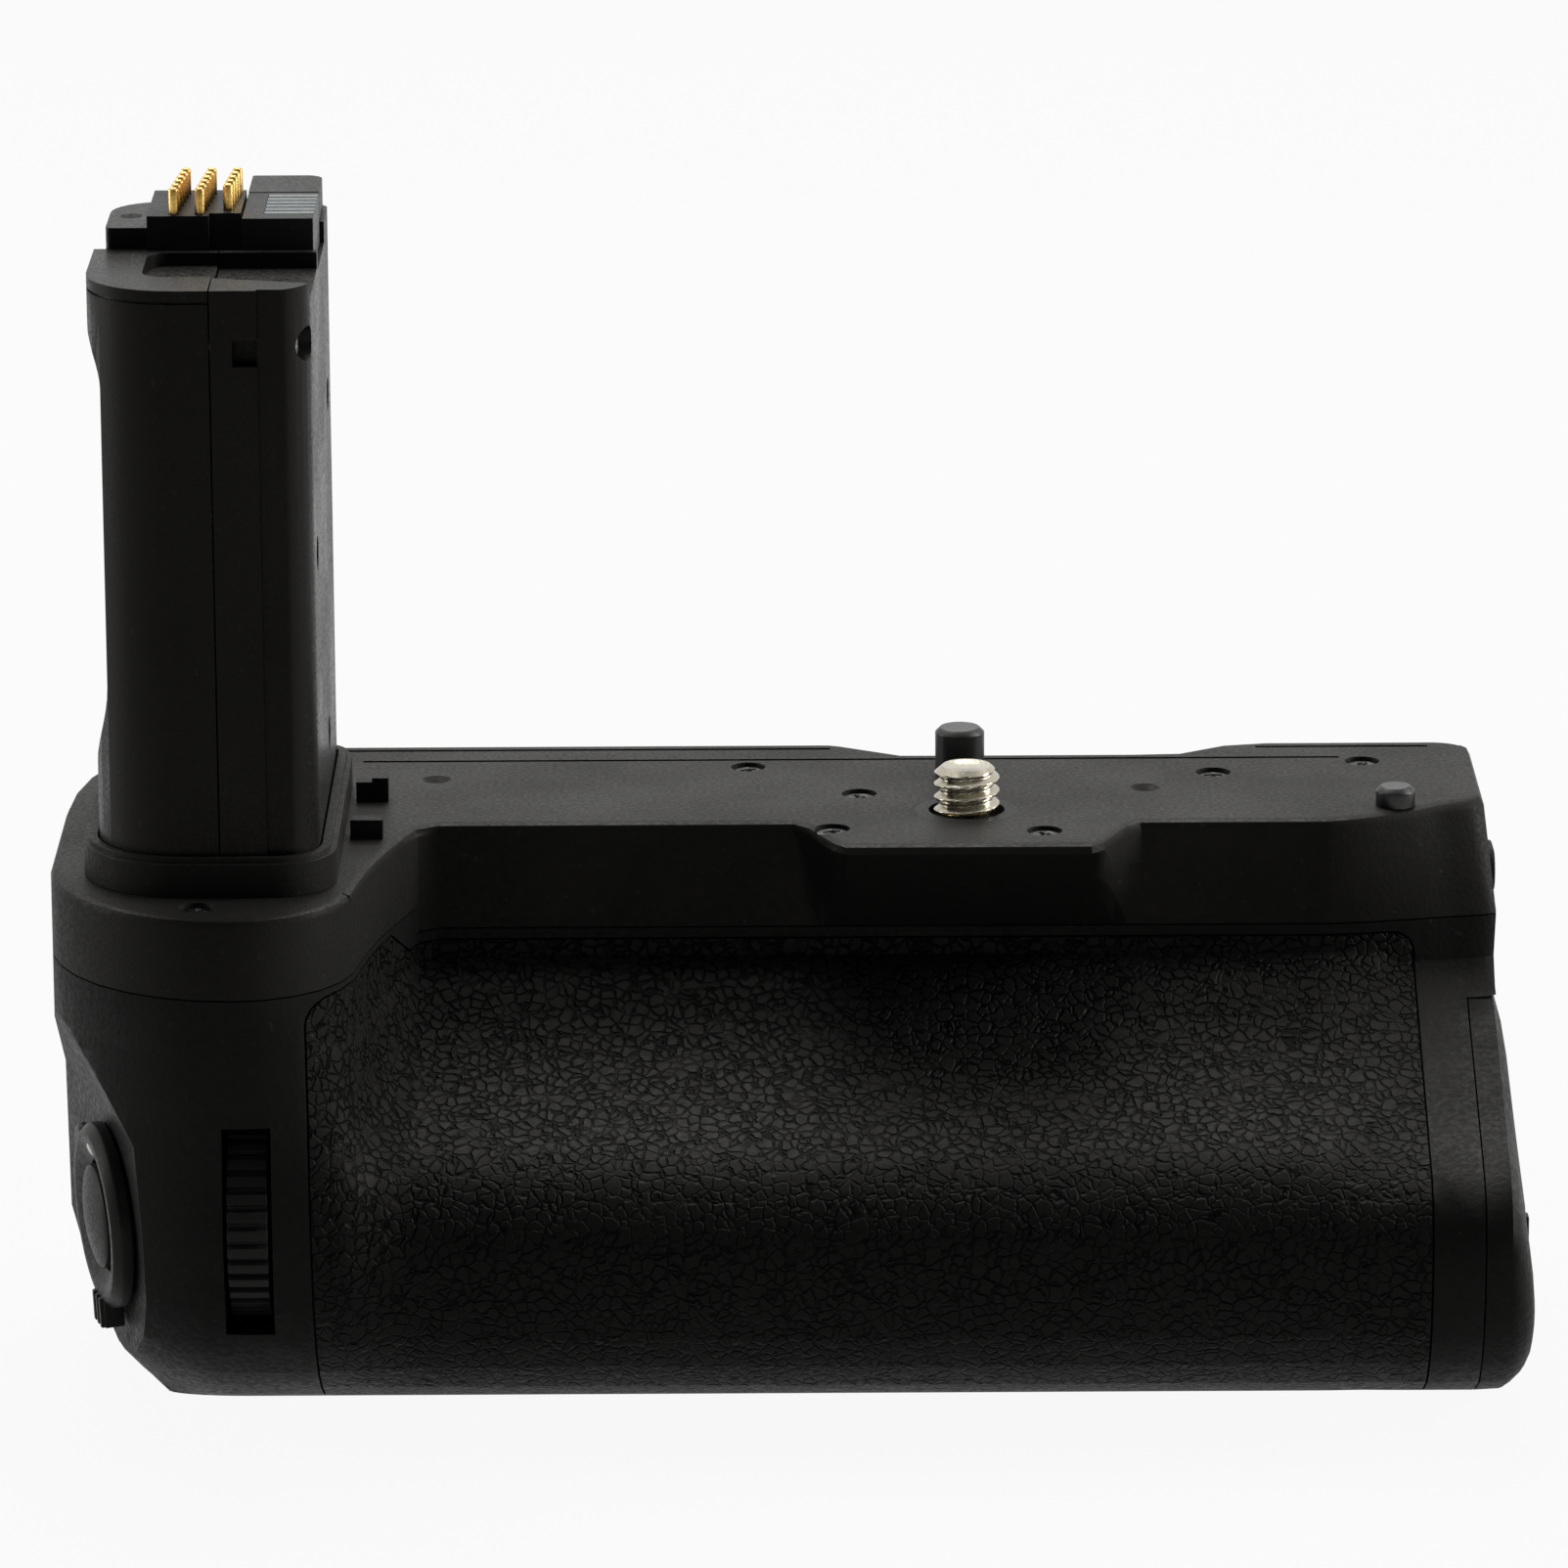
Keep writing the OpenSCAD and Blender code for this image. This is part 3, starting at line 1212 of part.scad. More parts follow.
gimbal_out_r = stick_r - 0.3;
gimbal_in_r = 2.4;
gimbal_w = 2.4;
trunnion_r = 0.8;
trunnion_l = 1.8;
trunnion_mid = 0.5;
stick_trunnion_r = 0.6;
stick_trunnion_in = 0.2;
stick_hub_r = 1.9;
stick_neck_r = 1.3;
stick_rise = 0.9;
stick_cap_t = 0.9;
stick_edge = [0.6, 0.7];

module joystick() {
    cap_z = rear_y - stick_pivot_y + stick_rise;
    color("#262626") {
        along_y([stick_pos[0], stick_pivot_y, stick_pos[1]]) {
            sphere(r = stick_hub_r);
            cylinder(r = stick_neck_r, h = cap_z + stick_cap_t / 2);
            translate([0, 0, cap_z]) cylinder(r = stick_r, h = stick_cap_t);
            translate([0, 0, cap_z + stick_cap_t])
                cylinder(r1 = stick_r, r2 = stick_r - stick_edge[0], h = stick_edge[1]);
        }
        translate([stick_pos[0], stick_pivot_y, stick_pos[1] - gimbal_out_r + stick_trunnion_in])
            cylinder(r = stick_trunnion_r, h = 2 * (gimbal_out_r - stick_trunnion_in));
    }
}

module joystick_gimbal() {
    color("#3a3a3a") difference() {
        union() {
            along_y([stick_pos[0], stick_pivot_y - gimbal_w / 2, stick_pos[1]]) difference() {
                cylinder(r = gimbal_out_r, h = gimbal_w);
                translate([0, 0, -over]) cylinder(r = gimbal_in_r, h = gimbal_w + 2 * over);
            }
            for (s = [-1, 1])
                along_x([stick_pos[0] + s * (gimbal_out_r + trunnion_mid) - trunnion_l / 2, stick_pivot_y,
                    stick_pos[1]]) cylinder(r = trunnion_r, h = trunnion_l);
        }
        translate([stick_pos[0], stick_pivot_y, stick_pos[1] - gimbal_out_r - over])
            cylinder(r = stick_trunnion_r + run_gap, h = 2 * gimbal_out_r + 2 * over);
    }
}

// Electronics
module main_board() {
    color("darkgreen") translate([board_pos[0], board_pos[1], -cover_grip_h - board_size[2] - board_drop])
        cube([board_size[0], board_size[1], board_size[2]]);
}

module chamber_contacts() {
    color("goldenrod") translate([-chamber_left - contact_size[0], -contact_size[1] / 2, contact_z])
        cube([contact_size[0] - contact_bed, contact_size[1], contact_size[2]]);
}

// Drawer
terminal_slot = [6, 8];
terminal_slot_z = well_z + 5;
terminal_bed = 0.1;
knob_floor = 1.4;
knob_t = 1.6;
knob_bar = [1.6, 1.2];
knob_bar_in = 0.6;
module tray_windows() {
    for (x = [tray_x, well_x[1] - tray_wall])
        translate([x - terminal_bed, -terminal_slot[0] / 2, terminal_slot_z])
            cube([tray_wall + 2 * terminal_bed, terminal_slot[0], terminal_slot[1]]);
}

module battery_tray() {
    color("#2b2b2b") difference() {
        translate([tray_x, tray_y, tray_z]) cube([seam_x - tray_x, tray_d, tray_top - tray_z]);
        for (x = well_x) translate([x, well_y, well_z]) cube([well_l, well_w, well_h + over]);
        tray_windows();
    }
}

module tray_terminals() {
    color("gold") for (x = [tray_x, well_x[1] - tray_wall])
        translate([x + terminal_bed, -terminal_slot[0] / 2, terminal_slot_z])
            cube([tray_wall - 2 * terminal_bed, terminal_slot[0], terminal_slot[1]]);
}

// End cap: its section is that of the shell's right end, drawn in towards a dome
cap_x0 = seam_x + seam_gap;
// Rings of the cap as its share of the dome's height, draw-in and fall of the top edge
cap_shape = [[0, 0, 0], [0.49, 0.1, 0.1], [0.65, 0.6, 2.4], [0.78, 1.3, 6], [0.88, 2.2, 10], [0.95, 3.2, 14],
    [1, 5, 18]];
cap_turn = 1.2;
cap_zs = concat([cap_top - seam_gap], [for (p = scoop) if (p[1] < cap_top - 0.5) p[1]]);
function cap_section(x, d, drop) = let (
    z0 = bottom_z + d,
    z1 = cap_top - seam_gap - drop,
    n = len(cap_zs),
    front = [for (z = cap_zs) [shoulder_front(min(x, seam_x + cap_turn), z) + d,
        mix(z0, z1, (z - bottom_z) / (cap_zs[0] - bottom_z))]],
    rear = [for (i = [0 : n - 1]) let (t = i / (n - 1))
        [rear_y - rear_in(mix(cap_top, bottom_z, t)) - d, mix(z1, z0, t)]])
    concat(reversed(front), rear);

module tray_cap_solid() {
    stack([for (c = cap_shape) let (x = cap_x0 + (cap_d - seam_gap) * c[0])
        [for (p = cap_section(x, c[1], c[2])) [x, p[0], p[1]]]]);
}

module tray_cap() {
    color("#232323") difference() {
        tray_cap_solid();
        translate([well_x[1], well_y, well_z]) cube([well_l, well_w, well_h]);
        along_x([cap_x0 - over, lock_pos[0], lock_pos[1]])
            cylinder(r = lock_shaft_r + run_gap, h = cap_d + 2 * over);
        along_x([cap_x0 + knob_floor, lock_pos[0], lock_pos[1]]) cylinder(r = knob_r + move_gap, h = cap_d);
    }
}

module tray_knob() {
    knob_x = cap_x0 + knob_floor + move_gap;
    color("#2e2e2e") along_x([0, lock_pos[0], lock_pos[1]]) {
        translate([0, 0, seam_x - lock_wall - tongue_gap])
            cylinder(r = lock_shaft_r, h = lock_wall + tongue_gap + seam_gap + knob_floor + 2 * move_gap);
        translate([0, 0, knob_x]) cylinder(r = knob_r, h = knob_t);
        translate([knob_bar_in - knob_r, -knob_bar[0] / 2, knob_x + knob_t])
            cube([2 * (knob_r - knob_bar_in), knob_bar[0], knob_bar[1]]);
    }
}

module tray_tongue() {
    color("silver") along_x([seam_x - lock_wall - tongue_gap - tongue_size[2], lock_pos[0], lock_pos[1]])
        translate([-tongue_size[1] / 2, -tongue_size[0] / 2, 0])
            cube([tongue_size[1], tongue_size[0], tongue_size[2]]);
}

// Underside and right end
module tripod_socket() {
    color("silver") translate([0, 0, bottom_z + socket_sink]) difference() {
        union() {
            cylinder(r = socket_out_r, h = socket_l);
            cylinder(r = socket_flange_r, h = socket_flange_t);
        }
        translate([0, 0, -over]) cylinder(r = socket_r, h = socket_l + 2 * over);
    }
}

module side_plug() {
    color("#1e1e1e") side_plug_shape(plug_depth + plug_reach);
}

top_cover();
lower_shell();
grip_pad();
thumb_pad();
tower_left_shell();
tower_right_shell();
tower_collar();
contact_block();
terminal_block();
battery_terminals();
contact_pins();
tower_board();
tower_screws();
camera_screw();
screw_gear();
screw_bush();
idler_gear();
idler_axle();
attachment_wheel();
wheel_axle();
gear_plate();
rear_locating_pin();
side_locating_pin();
cover_screws();
shutter_button();
shutter_switch();
lock_collar();
function_button();
function_switch();
front_dial();
front_dial_axle();
rear_dial();
rear_dial_axle();
af_button();
af_switch();
joystick();
joystick_gimbal();
main_board();
chamber_contacts();
battery_tray();
tray_terminals();
tray_cap();
tray_knob();
tray_tongue();
tripod_socket();
side_plug();
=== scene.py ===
"""Looks of the camera battery grip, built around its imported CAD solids. Metres, in the CAD's frame."""
import json
import math

import bmesh
import bpy
from mathutils import Matrix, Vector


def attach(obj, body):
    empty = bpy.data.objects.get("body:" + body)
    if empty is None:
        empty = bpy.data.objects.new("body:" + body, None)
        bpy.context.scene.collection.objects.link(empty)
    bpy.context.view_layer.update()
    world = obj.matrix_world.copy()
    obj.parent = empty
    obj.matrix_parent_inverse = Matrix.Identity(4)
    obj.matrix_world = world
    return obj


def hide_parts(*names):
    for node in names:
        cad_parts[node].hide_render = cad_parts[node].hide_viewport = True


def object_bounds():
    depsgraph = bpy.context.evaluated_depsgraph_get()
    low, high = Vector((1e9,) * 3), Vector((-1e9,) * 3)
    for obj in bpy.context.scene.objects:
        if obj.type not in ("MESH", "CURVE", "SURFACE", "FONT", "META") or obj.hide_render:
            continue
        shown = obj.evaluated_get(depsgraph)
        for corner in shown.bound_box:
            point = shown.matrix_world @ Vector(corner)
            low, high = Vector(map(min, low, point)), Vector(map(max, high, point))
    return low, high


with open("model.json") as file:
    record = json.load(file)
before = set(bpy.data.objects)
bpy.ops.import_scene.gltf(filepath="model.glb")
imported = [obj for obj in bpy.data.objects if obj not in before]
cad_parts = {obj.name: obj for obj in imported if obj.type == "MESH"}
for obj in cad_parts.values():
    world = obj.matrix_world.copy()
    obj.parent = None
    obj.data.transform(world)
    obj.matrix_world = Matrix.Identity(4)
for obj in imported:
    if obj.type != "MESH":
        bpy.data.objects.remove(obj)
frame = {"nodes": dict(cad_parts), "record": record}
cad_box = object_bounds()
nodes = frame["nodes"]
MM = 0.001

# The photograph's camera: its frame, focal length in pixels, height angle and place
IMAGE_PX = 1603
FOCAL_PX = 9540
SENSOR = 36.0
ELEVATION = math.radians(15.0)
ROLL = math.radians(0.29)
DISTANCE = 900 * MM
CAMERA_RIGHT = -17.594 * MM
CAMERA_UP = 2.495 * MM
CLIP = (0.05, 50)

# Sizes that the solids share, as part.scad has them. Places of screws are in millimetres.
SCREW_R = 3.175 * MM
SCREW_TOP = 4.4 * MM
THREAD_PITCH = 1.27 * MM
THREAD_DEPTH = 0.62 * MM
NECK_R = 2.4 * MM
NECK_BOTTOM = -9.1 * MM
PIVOT_R = 1.2 * MM
PIVOT_BOTTOM = -10.3 * MM
HEAD_R = 1.5 * MM
HEAD_TOP = -0.3 * MM
HEAD_T = 0.8 * MM
SHANK_R = 0.8 * MM
LONG_SHANK = 15 * MM
SHORT_SHANK = 2.7 * MM
LONG_SCREWS = [(-21.1, 16.2), (-10.3, 6.0), (24.4, 13.4), (39.2, 17.3), (-72.3, -33.7)]
SHORT_SCREWS = [(-13.0, -6.9), (7.3, -8.0)]
TOWER_HEAD_X = -62.3
TOWER_HEAD_T = 1.0 * MM
TOWER_SHANK = 12.0 * MM
TOWER_SHANK_R = 0.9 * MM
TOWER_SCREWS = [(-26.0, 51.9), (4.0, 40.4), (-20.0, 30.5), (-4.0, 9.0)]
PLATFORM = Vector((-81.2, -24.0, -32.8)) * MM
PLATFORM_TURN = math.radians(16.5)
PLATFORM_TILT = math.radians(3.0)
COLLAR_TOP = 2.2 * MM
DISH_OUT = 7.4 * MM
DISH_IN = 5.3 * MM
DISH_DEPTH = 0.9 * MM

# The narrow strip in three solids where the grip's rounded front meets its flank: its range of x, its width
STEPPED = ("top_cover", "lower_shell", "grip_pad")
STEP_X = (-58.20 * MM, -57.97 * MM)
STEP_W = 0.25 * MM

# Softened edges of the CAD nodes, in millimetres
EDGE = {"top_cover": 0.18, "lower_shell": 0.0, "grip_pad": 0.0, "thumb_pad": 0.25, "tower_left_shell": 0.25,
        "tower_right_shell": 0.25, "tower_collar": 0.25, "contact_block": 0.15, "terminal_block": 0.12,
        "battery_terminals": 0.1, "shutter_button": 0.3, "lock_collar": 0.2, "front_dial": 0.12,
        "rear_dial": 0.12, "attachment_wheel": 0.1, "tray_cap": 0.0, "tray_knob": 0.25, "side_plug": 0.3,
        "battery_tray": 0.2, "joystick": 0.3, "af_button": 0.2, "function_button": 0.25}
OTHER_EDGE = 0.05
EDGE_SEGMENTS = 2
EDGE_ANGLE = math.radians(38)
WELD_GAP = 2e-6
PLANE_ANGLE = math.radians(0.6)
SMOOTH_ANGLE = math.radians(32)
NORMAL_WEIGHT = 90
NEW_SMOOTH_ANGLE = math.radians(35)

# Ranges of a pattern's value that a material spreads over its tones
MIDDLE = (0.3, 0.7)
WIDE = (0.25, 0.75)
FULL = (0.0, 1.0)
DUST_PEAKS = (0.70, 0.80)
STAINED = (0.3, 0.65)
OPEN_AIR = (0.35, 0.95)
CREASE_EDGE = (0.02, 0.14)
CREASE_BREAK = (0.34, 0.52)

# Plastic: size of its mottling and dust, how far they change its tone, and the spread of its roughness
GLOSS_TINT = (1.0, 0.965, 0.88, 1.0)
MOTTLE = 9 * MM
MOTTLE_SHARE = 0.12
MOTTLE_ROUGH = 0.06
GRAIN_ROUGH = 0.10
DUST = 0.5 * MM
DUST_SHARE = 0.35
DUST_GAIN = 1.8
DUST_LIFT = 0.02

# Leather grain: cells per metre, and the scale and reach of the two warps that make the creases wind
CELLS = 860.0
COARSE_WARP = (330.0, 1.4 * MM)
FINE_WARP = (1150.0, 0.6 * MM)
CREASE_RUN = 1.5 * MM
CREASE_LEAST = 0.35
CELL_HEIGHT = (0.78, 1.05)
CELL_DEPTH = 0.24 * MM
WRINKLE = 0.4 * MM
WRINKLE_DEPTH = 0.06 * MM
LEATHER_ROUGH = (0.58, 0.44)
LEATHER_SPECULAR = 0.05
LEATHER = (0.0115, 0.0112, 0.0106)
# Painted shade: the near-black colour of the creases
CREASE_SHADE = (0.0010, 0.0010, 0.0010)

# Metal: size of its brushing and stains, what they change, and how near a neighbour must be to give painted
# shade
BRUSHING = 0.12 * MM
BRUSHING_DEPTH = 0.004 * MM
BRUSHING_ROUGH = 0.06
STAIN = 2.5 * MM
STAIN_SHARE = 0.25
GAP_SHADE_REACH = 1.6 * MM


def node(tree, kind, links=None, **values):
    """A node with its properties set, and its inputs set or linked by name or index."""
    made = tree.nodes.new(kind)
    for name, value in values.items():
        setattr(made, name, value)
    for key, value in (links or {}).items():
        if isinstance(value, bpy.types.NodeSocket):
            tree.links.new(value, made.inputs[key])
        else:
            made.inputs[key].default_value = value
    return made


def arith(tree, operation, first, second):
    """The result of a Math node."""
    return node(tree, "ShaderNodeMath", {0: first, 1: second}, operation=operation).outputs[0]


def vector_sum(tree, operation, first, second):
    """The result of a Vector Math node with two vectors."""
    return node(tree, "ShaderNodeVectorMath", {0: first, 1: second}, operation=operation).outputs[0]


def noise(tree, place, size, detail):
    """Noise whose lumps are about size metres across."""
    return node(tree, "ShaderNodeTexNoise", {"Vector": place, "Scale": 0.6 / size, "Detail": detail,
                                             "Roughness": 0.55}).outputs["Fac"]


def ramp(tree, value, span, start, end):
    """Value mapped smoothly from the span's two ends to start and end."""
    mapped = node(tree, "ShaderNodeMapRange", {"Value": value, "From Min": span[0], "From Max": span[1],
                                               "To Min": start, "To Max": end},
                  interpolation_type="SMOOTHSTEP")
    return mapped.outputs["Result"]


def blend(tree, factor, first, second):
    """Colour between two, each of them a colour of three numbers or another node's output."""
    ends = {key: colour if isinstance(colour, bpy.types.NodeSocket) else (*colour, 1)
            for key, colour in (("A", first), ("B", second))}
    return node(tree, "ShaderNodeMix", {"Factor": factor, **ends}, data_type="RGBA").outputs["Result"]


def bump(tree, height, depth, under=None):
    """Normal of a relief of some depth in metres, on top of another relief's normal."""
    links = {"Height": height, "Distance": depth, "Strength": 1.0}
    if under is not None:
        links["Normal"] = under
    return node(tree, "ShaderNodeBump", links).outputs["Normal"]


def new_material(name):
    """A material with its tree, its shader and the place on the object."""
    material = bpy.data.materials.new(name)
    material.use_nodes = True
    tree = material.node_tree
    shader = tree.nodes["Principled BSDF"]
    place = node(tree, "ShaderNodeTexCoord").outputs["Object"]
    return material, tree, shader, place


def dress(tree, shader, colour, normal, rough=None):
    """Links a shader's colour, normal and roughness."""
    tree.links.new(colour, shader.inputs["Base Color"])
    tree.links.new(normal, shader.inputs["Normal"])
    if rough is not None:
        tree.links.new(rough, shader.inputs["Roughness"])


def plastic(name, colour, rough, grain, depth, specular=0.5):
    """Moulded plastic: fine grain of the tool, faint mottling, dust, and smoother patches from handling."""
    material, tree, shader, place = new_material(name)
    fine = noise(tree, place, grain, 2.0)
    mottle = noise(tree, place, MOTTLE, 4.0)
    dust = noise(tree, place, DUST, 1.0)
    dark = [c * (1 - MOTTLE_SHARE) for c in colour]
    light = [min(1, c * (1 + MOTTLE_SHARE)) for c in colour]
    dusty = [min(1, c * DUST_GAIN + DUST_LIFT) for c in colour]
    tone = blend(tree, ramp(tree, mottle, MIDDLE, 0, 1), dark, light)
    tone = blend(tree, ramp(tree, dust, DUST_PEAKS, 0, DUST_SHARE), tone, dusty)
    patches = ramp(tree, mottle, WIDE, rough + MOTTLE_ROUGH, rough - MOTTLE_ROUGH)
    sheen = arith(tree, "ADD", patches, ramp(tree, fine, MIDDLE, GRAIN_ROUGH, -GRAIN_ROUGH))
    dress(tree, shader, tone, bump(tree, fine, depth), sheen)
    shader.inputs["Specular IOR Level"].default_value = specular
    shader.inputs["Specular Tint"].default_value = GLOSS_TINT
    return material


def leather_rubber(name):
    """Rubber moulded with a leather grain: flat uneven cells parted by thin, broken, winding creases,
    darkened with painted shade.
    """
    material, tree, shader, place = new_material(name)

    def push(at, scale, reach):
        """Place moved about by up to half of reach, so that what it draws winds."""
        warp = node(tree, "ShaderNodeTexNoise", {"Vector": place, "Scale": scale, "Detail": 1.0})
        shift = vector_sum(tree, "SUBTRACT", warp.outputs["Color"], (0.5, 0.5, 0.5))
        scaled = node(tree, "ShaderNodeVectorMath", {0: shift, "Scale": reach}, operation="SCALE")
        return vector_sum(tree, "ADD", at, scaled.outputs[0])

    def cells(feature, output):
        return node(tree, "ShaderNodeTexVoronoi", {"Vector": winding, "Scale": CELLS, "Randomness": 1.0},
                    feature=feature).outputs[output]

    winding = push(push(place, *COARSE_WARP), *FINE_WARP)
    wrinkle = noise(tree, winding, WRINKLE, 2.0)
    breaks = ramp(tree, noise(tree, place, CREASE_RUN, 1.0), CREASE_BREAK, CREASE_LEAST, 1.0)
    line = ramp(tree, cells("DISTANCE_TO_EDGE", "Distance"), CREASE_EDGE, 1.0, 0.0)
    crease = arith(tree, "MULTIPLY", line, breaks)
    plateau = arith(tree, "SUBTRACT", ramp(tree, cells("F1", "Color"), FULL, *CELL_HEIGHT), crease)
    skin = bump(tree, wrinkle, WRINKLE_DEPTH)
    # The creases' near-black colour is painted shade; their depth is the bump
    dress(tree, shader, blend(tree, crease, LEATHER, CREASE_SHADE), bump(tree, plateau, CELL_DEPTH, skin),
          ramp(tree, wrinkle, MIDDLE, *LEATHER_ROUGH))
    shader.inputs["Specular IOR Level"].default_value = LEATHER_SPECULAR
    shader.inputs["Specular Tint"].default_value = GLOSS_TINT
    return material


def metal(name, colour, rough, gap_shade=None):
    """Plated or machined metal with fine brushing and faint tarnish, and painted shade between close pieces.
    """
    material, tree, shader, place = new_material(name)
    brushed = noise(tree, place, BRUSHING, 3.0)
    stain = noise(tree, place, STAIN, 3.0)
    dark = [c * (1 - STAIN_SHARE) for c in colour]
    tone = blend(tree, ramp(tree, stain, STAINED, 0, 1), dark, colour)
    # Painted shade: the colour darkens towards the given dark one where another piece is close
    if gap_shade:
        near = node(tree, "ShaderNodeAmbientOcclusion", {"Distance": GAP_SHADE_REACH}).outputs["AO"]
        tone = blend(tree, ramp(tree, near, OPEN_AIR, 1, 0), tone, gap_shade)
    dress(tree, shader, tone, bump(tree, brushed, BRUSHING_DEPTH),
          ramp(tree, brushed, WIDE, rough - BRUSHING_ROUGH, rough + BRUSHING_ROUGH))
    shader.inputs["Metallic"].default_value = 1.0
    return material


def paint(name, colour):
    """Pad-printed ink, a little uneven at its surface."""
    material, tree, shader, place = new_material(name)
    grain = noise(tree, place, 0.15 * MM, 2.0)
    thin = [c * 0.88 for c in colour]
    dress(tree, shader, blend(tree, grain, thin, colour), bump(tree, grain, 0.01 * MM))
    shader.inputs["Roughness"].default_value = 0.5
    return material


def circuit_board(name):
    """Green board with the faint pattern of its tracks."""
    material, tree, shader, place = new_material(name)
    track = node(tree, "ShaderNodeTexBrick", {
        "Vector": place, "Scale": 320.0, "Mortar Size": 0.06, "Color1": (0.012, 0.075, 0.03, 1),
        "Color2": (0.016, 0.095, 0.038, 1), "Mortar": (0.03, 0.14, 0.06, 1)}).outputs
    dress(tree, shader, track["Color"], bump(tree, track["Fac"], 0.03 * MM))
    shader.inputs["Roughness"].default_value = 0.35
    return material


# A look for each of the record's material slots. Plastic: colour, roughness, grain, its depth, specular.
look = {
    "plate_plastic": plastic("plate_plastic", (0.0150, 0.0146, 0.0136), 0.50, 0.26 * MM, 0.045 * MM, 0.05),
    "shell_plastic": plastic("shell_plastic", (0.0110, 0.0107, 0.0102), 0.52, 0.34 * MM, 0.070 * MM, 0.05),
    "tower_plastic": plastic("tower_plastic", (0.0092, 0.0088, 0.0082), 0.38, 0.22 * MM, 0.016 * MM, 0.07),
    "control_plastic": plastic("control_plastic", (0.0185, 0.0181, 0.0174), 0.42, 0.20 * MM, 0.015 * MM,
                               0.07),
    "dark_block": plastic("dark_block", (0.0200, 0.0200, 0.0196), 0.40, 0.20 * MM, 0.010 * MM, 0.04),
    "switch_plastic": plastic("switch_plastic", (0.10, 0.10, 0.10), 0.45, 0.25 * MM, 0.015 * MM),
    "tray_plastic": plastic("tray_plastic", (0.025, 0.025, 0.026), 0.45, 0.25 * MM, 0.02 * MM, 0.3),
    "grip_rubber": leather_rubber("grip_rubber"),
    "dark_metal": metal("dark_metal", (0.045, 0.044, 0.043), 0.42),
    "steel": metal("steel", (0.56, 0.56, 0.56), 0.30),
    "nickel": metal("nickel", (0.50, 0.46, 0.37), 0.24),
    "gear_brass": metal("gear_brass", (0.72, 0.52, 0.22), 0.30),
    # Gold pins get painted shade between them
    "gold": metal("gold", (0.72, 0.45, 0.13), 0.24, gap_shade=(0.10, 0.05, 0.01)),
    "board": circuit_board("board"),
}
terminal_tin = metal("terminal_tin", (0.075, 0.084, 0.084), 0.45)
white_ink = paint("white_ink", (0.80, 0.80, 0.78))


# CAD nodes: a material each, softened edges and smooth shading by modifiers

def geometry_group(name):
    """An empty group of geometry nodes, and the geometry that enters it."""
    group = bpy.data.node_groups.new(name, "GeometryNodeTree")
    for way in ("INPUT", "OUTPUT"):
        group.interface.new_socket("Geometry", in_out=way, socket_type="NodeSocketGeometry")
    return group, node(group, "NodeGroupInput").outputs["Geometry"]


def compare(group, operation, value, limit):
    return node(group, "FunctionNodeCompare", {0: value, 1: limit}, data_type="FLOAT",
                operation=operation).outputs[0]


def smooth_group():
    """Geometry nodes that shade smoothly across edges whose faces meet below an angle."""
    group, start = geometry_group("shade_by_angle")
    faces = node(group, "GeometryNodeSetShadeSmooth", {"Geometry": start, "Shade Smooth": True},
                 domain="FACE")
    angle = node(group, "GeometryNodeInputMeshEdgeAngle").outputs["Unsigned Angle"]
    flat = compare(group, "LESS_THAN", angle, SMOOTH_ANGLE)
    edges = node(group, "GeometryNodeSetShadeSmooth", {"Geometry": faces.outputs[0], "Shade Smooth": flat},
                 domain="EDGE")
    node(group, "NodeGroupOutput", {"Geometry": edges.outputs[0]})
    return group


def merge_group():
    """Geometry nodes that join the two close lines of points at the sides of the narrow strip."""
    group, start = geometry_group("merge_step")
    place = node(group, "GeometryNodeInputPosition").outputs[0]
    x = node(group, "ShaderNodeSeparateXYZ", {0: place}).outputs["X"]
    between = node(group, "FunctionNodeBooleanMath", {0: compare(group, "GREATER_THAN", x, STEP_X[0]),
                                                      1: compare(group, "LESS_THAN", x, STEP_X[1])},
                   operation="AND")
    merged = node(group, "GeometryNodeMergeByDistance", {"Geometry": start, "Selection": between.outputs[0],
                                                         "Distance": STEP_W})
    node(group, "NodeGroupOutput", {"Geometry": merged.outputs[0]})
    return group


shade_by_angle = smooth_group()
merge_step = merge_group()


def soften(piece, width):
    """Welds the mesh, rounds its hard edges by width and shades the rest smoothly."""
    weld = piece.modifiers.new("weld", "WELD")
    weld.merge_threshold = WELD_GAP
    if piece.name in STEPPED:
        piece.modifiers.new("step", "NODES").node_group = merge_step
    if width:
        plane = piece.modifiers.new("planes", "DECIMATE")
        plane.decimate_type = "DISSOLVE"
        plane.angle_limit = PLANE_ANGLE
        edge = piece.modifiers.new("edges", "BEVEL")
        edge.width = width
        edge.segments = EDGE_SEGMENTS
        edge.limit_method = "ANGLE"
        edge.angle_limit = EDGE_ANGLE
        edge.use_clamp_overlap = True
    piece.modifiers.new("shade", "NODES").node_group = shade_by_angle
    normals = piece.modifiers.new("normals", "WEIGHTED_NORMAL")
    normals.keep_sharp = True
    normals.weight = NORMAL_WEIGHT


slot_of = {part["node"]: part["material_slot"] for part in frame["record"]["subparts"]}
for name, piece in nodes.items():
    piece.data.materials.clear()
    piece.data.materials.append(terminal_tin if name == "battery_terminals" else look[slot_of[name]])
    soften(piece, EDGE.get(name, OTHER_EDGE) * MM)


# Pieces with detail that the solids leave out

def link_object(name, data):
    """A new object of the scene."""
    made = bpy.data.objects.new(name, data)
    bpy.context.scene.collection.objects.link(made)
    return made


def add_piece(name, build, body, slot, material=None, replaces=()):
    """A new piece whose mesh build(bm) makes, which rides a body and stands for the CAD nodes it replaces."""
    mesh = mesh_of(name, build)
    piece = link_object(name, mesh)
    mesh.materials.append(material or look[slot])
    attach(piece, body)
    if replaces:
        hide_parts(*replaces)


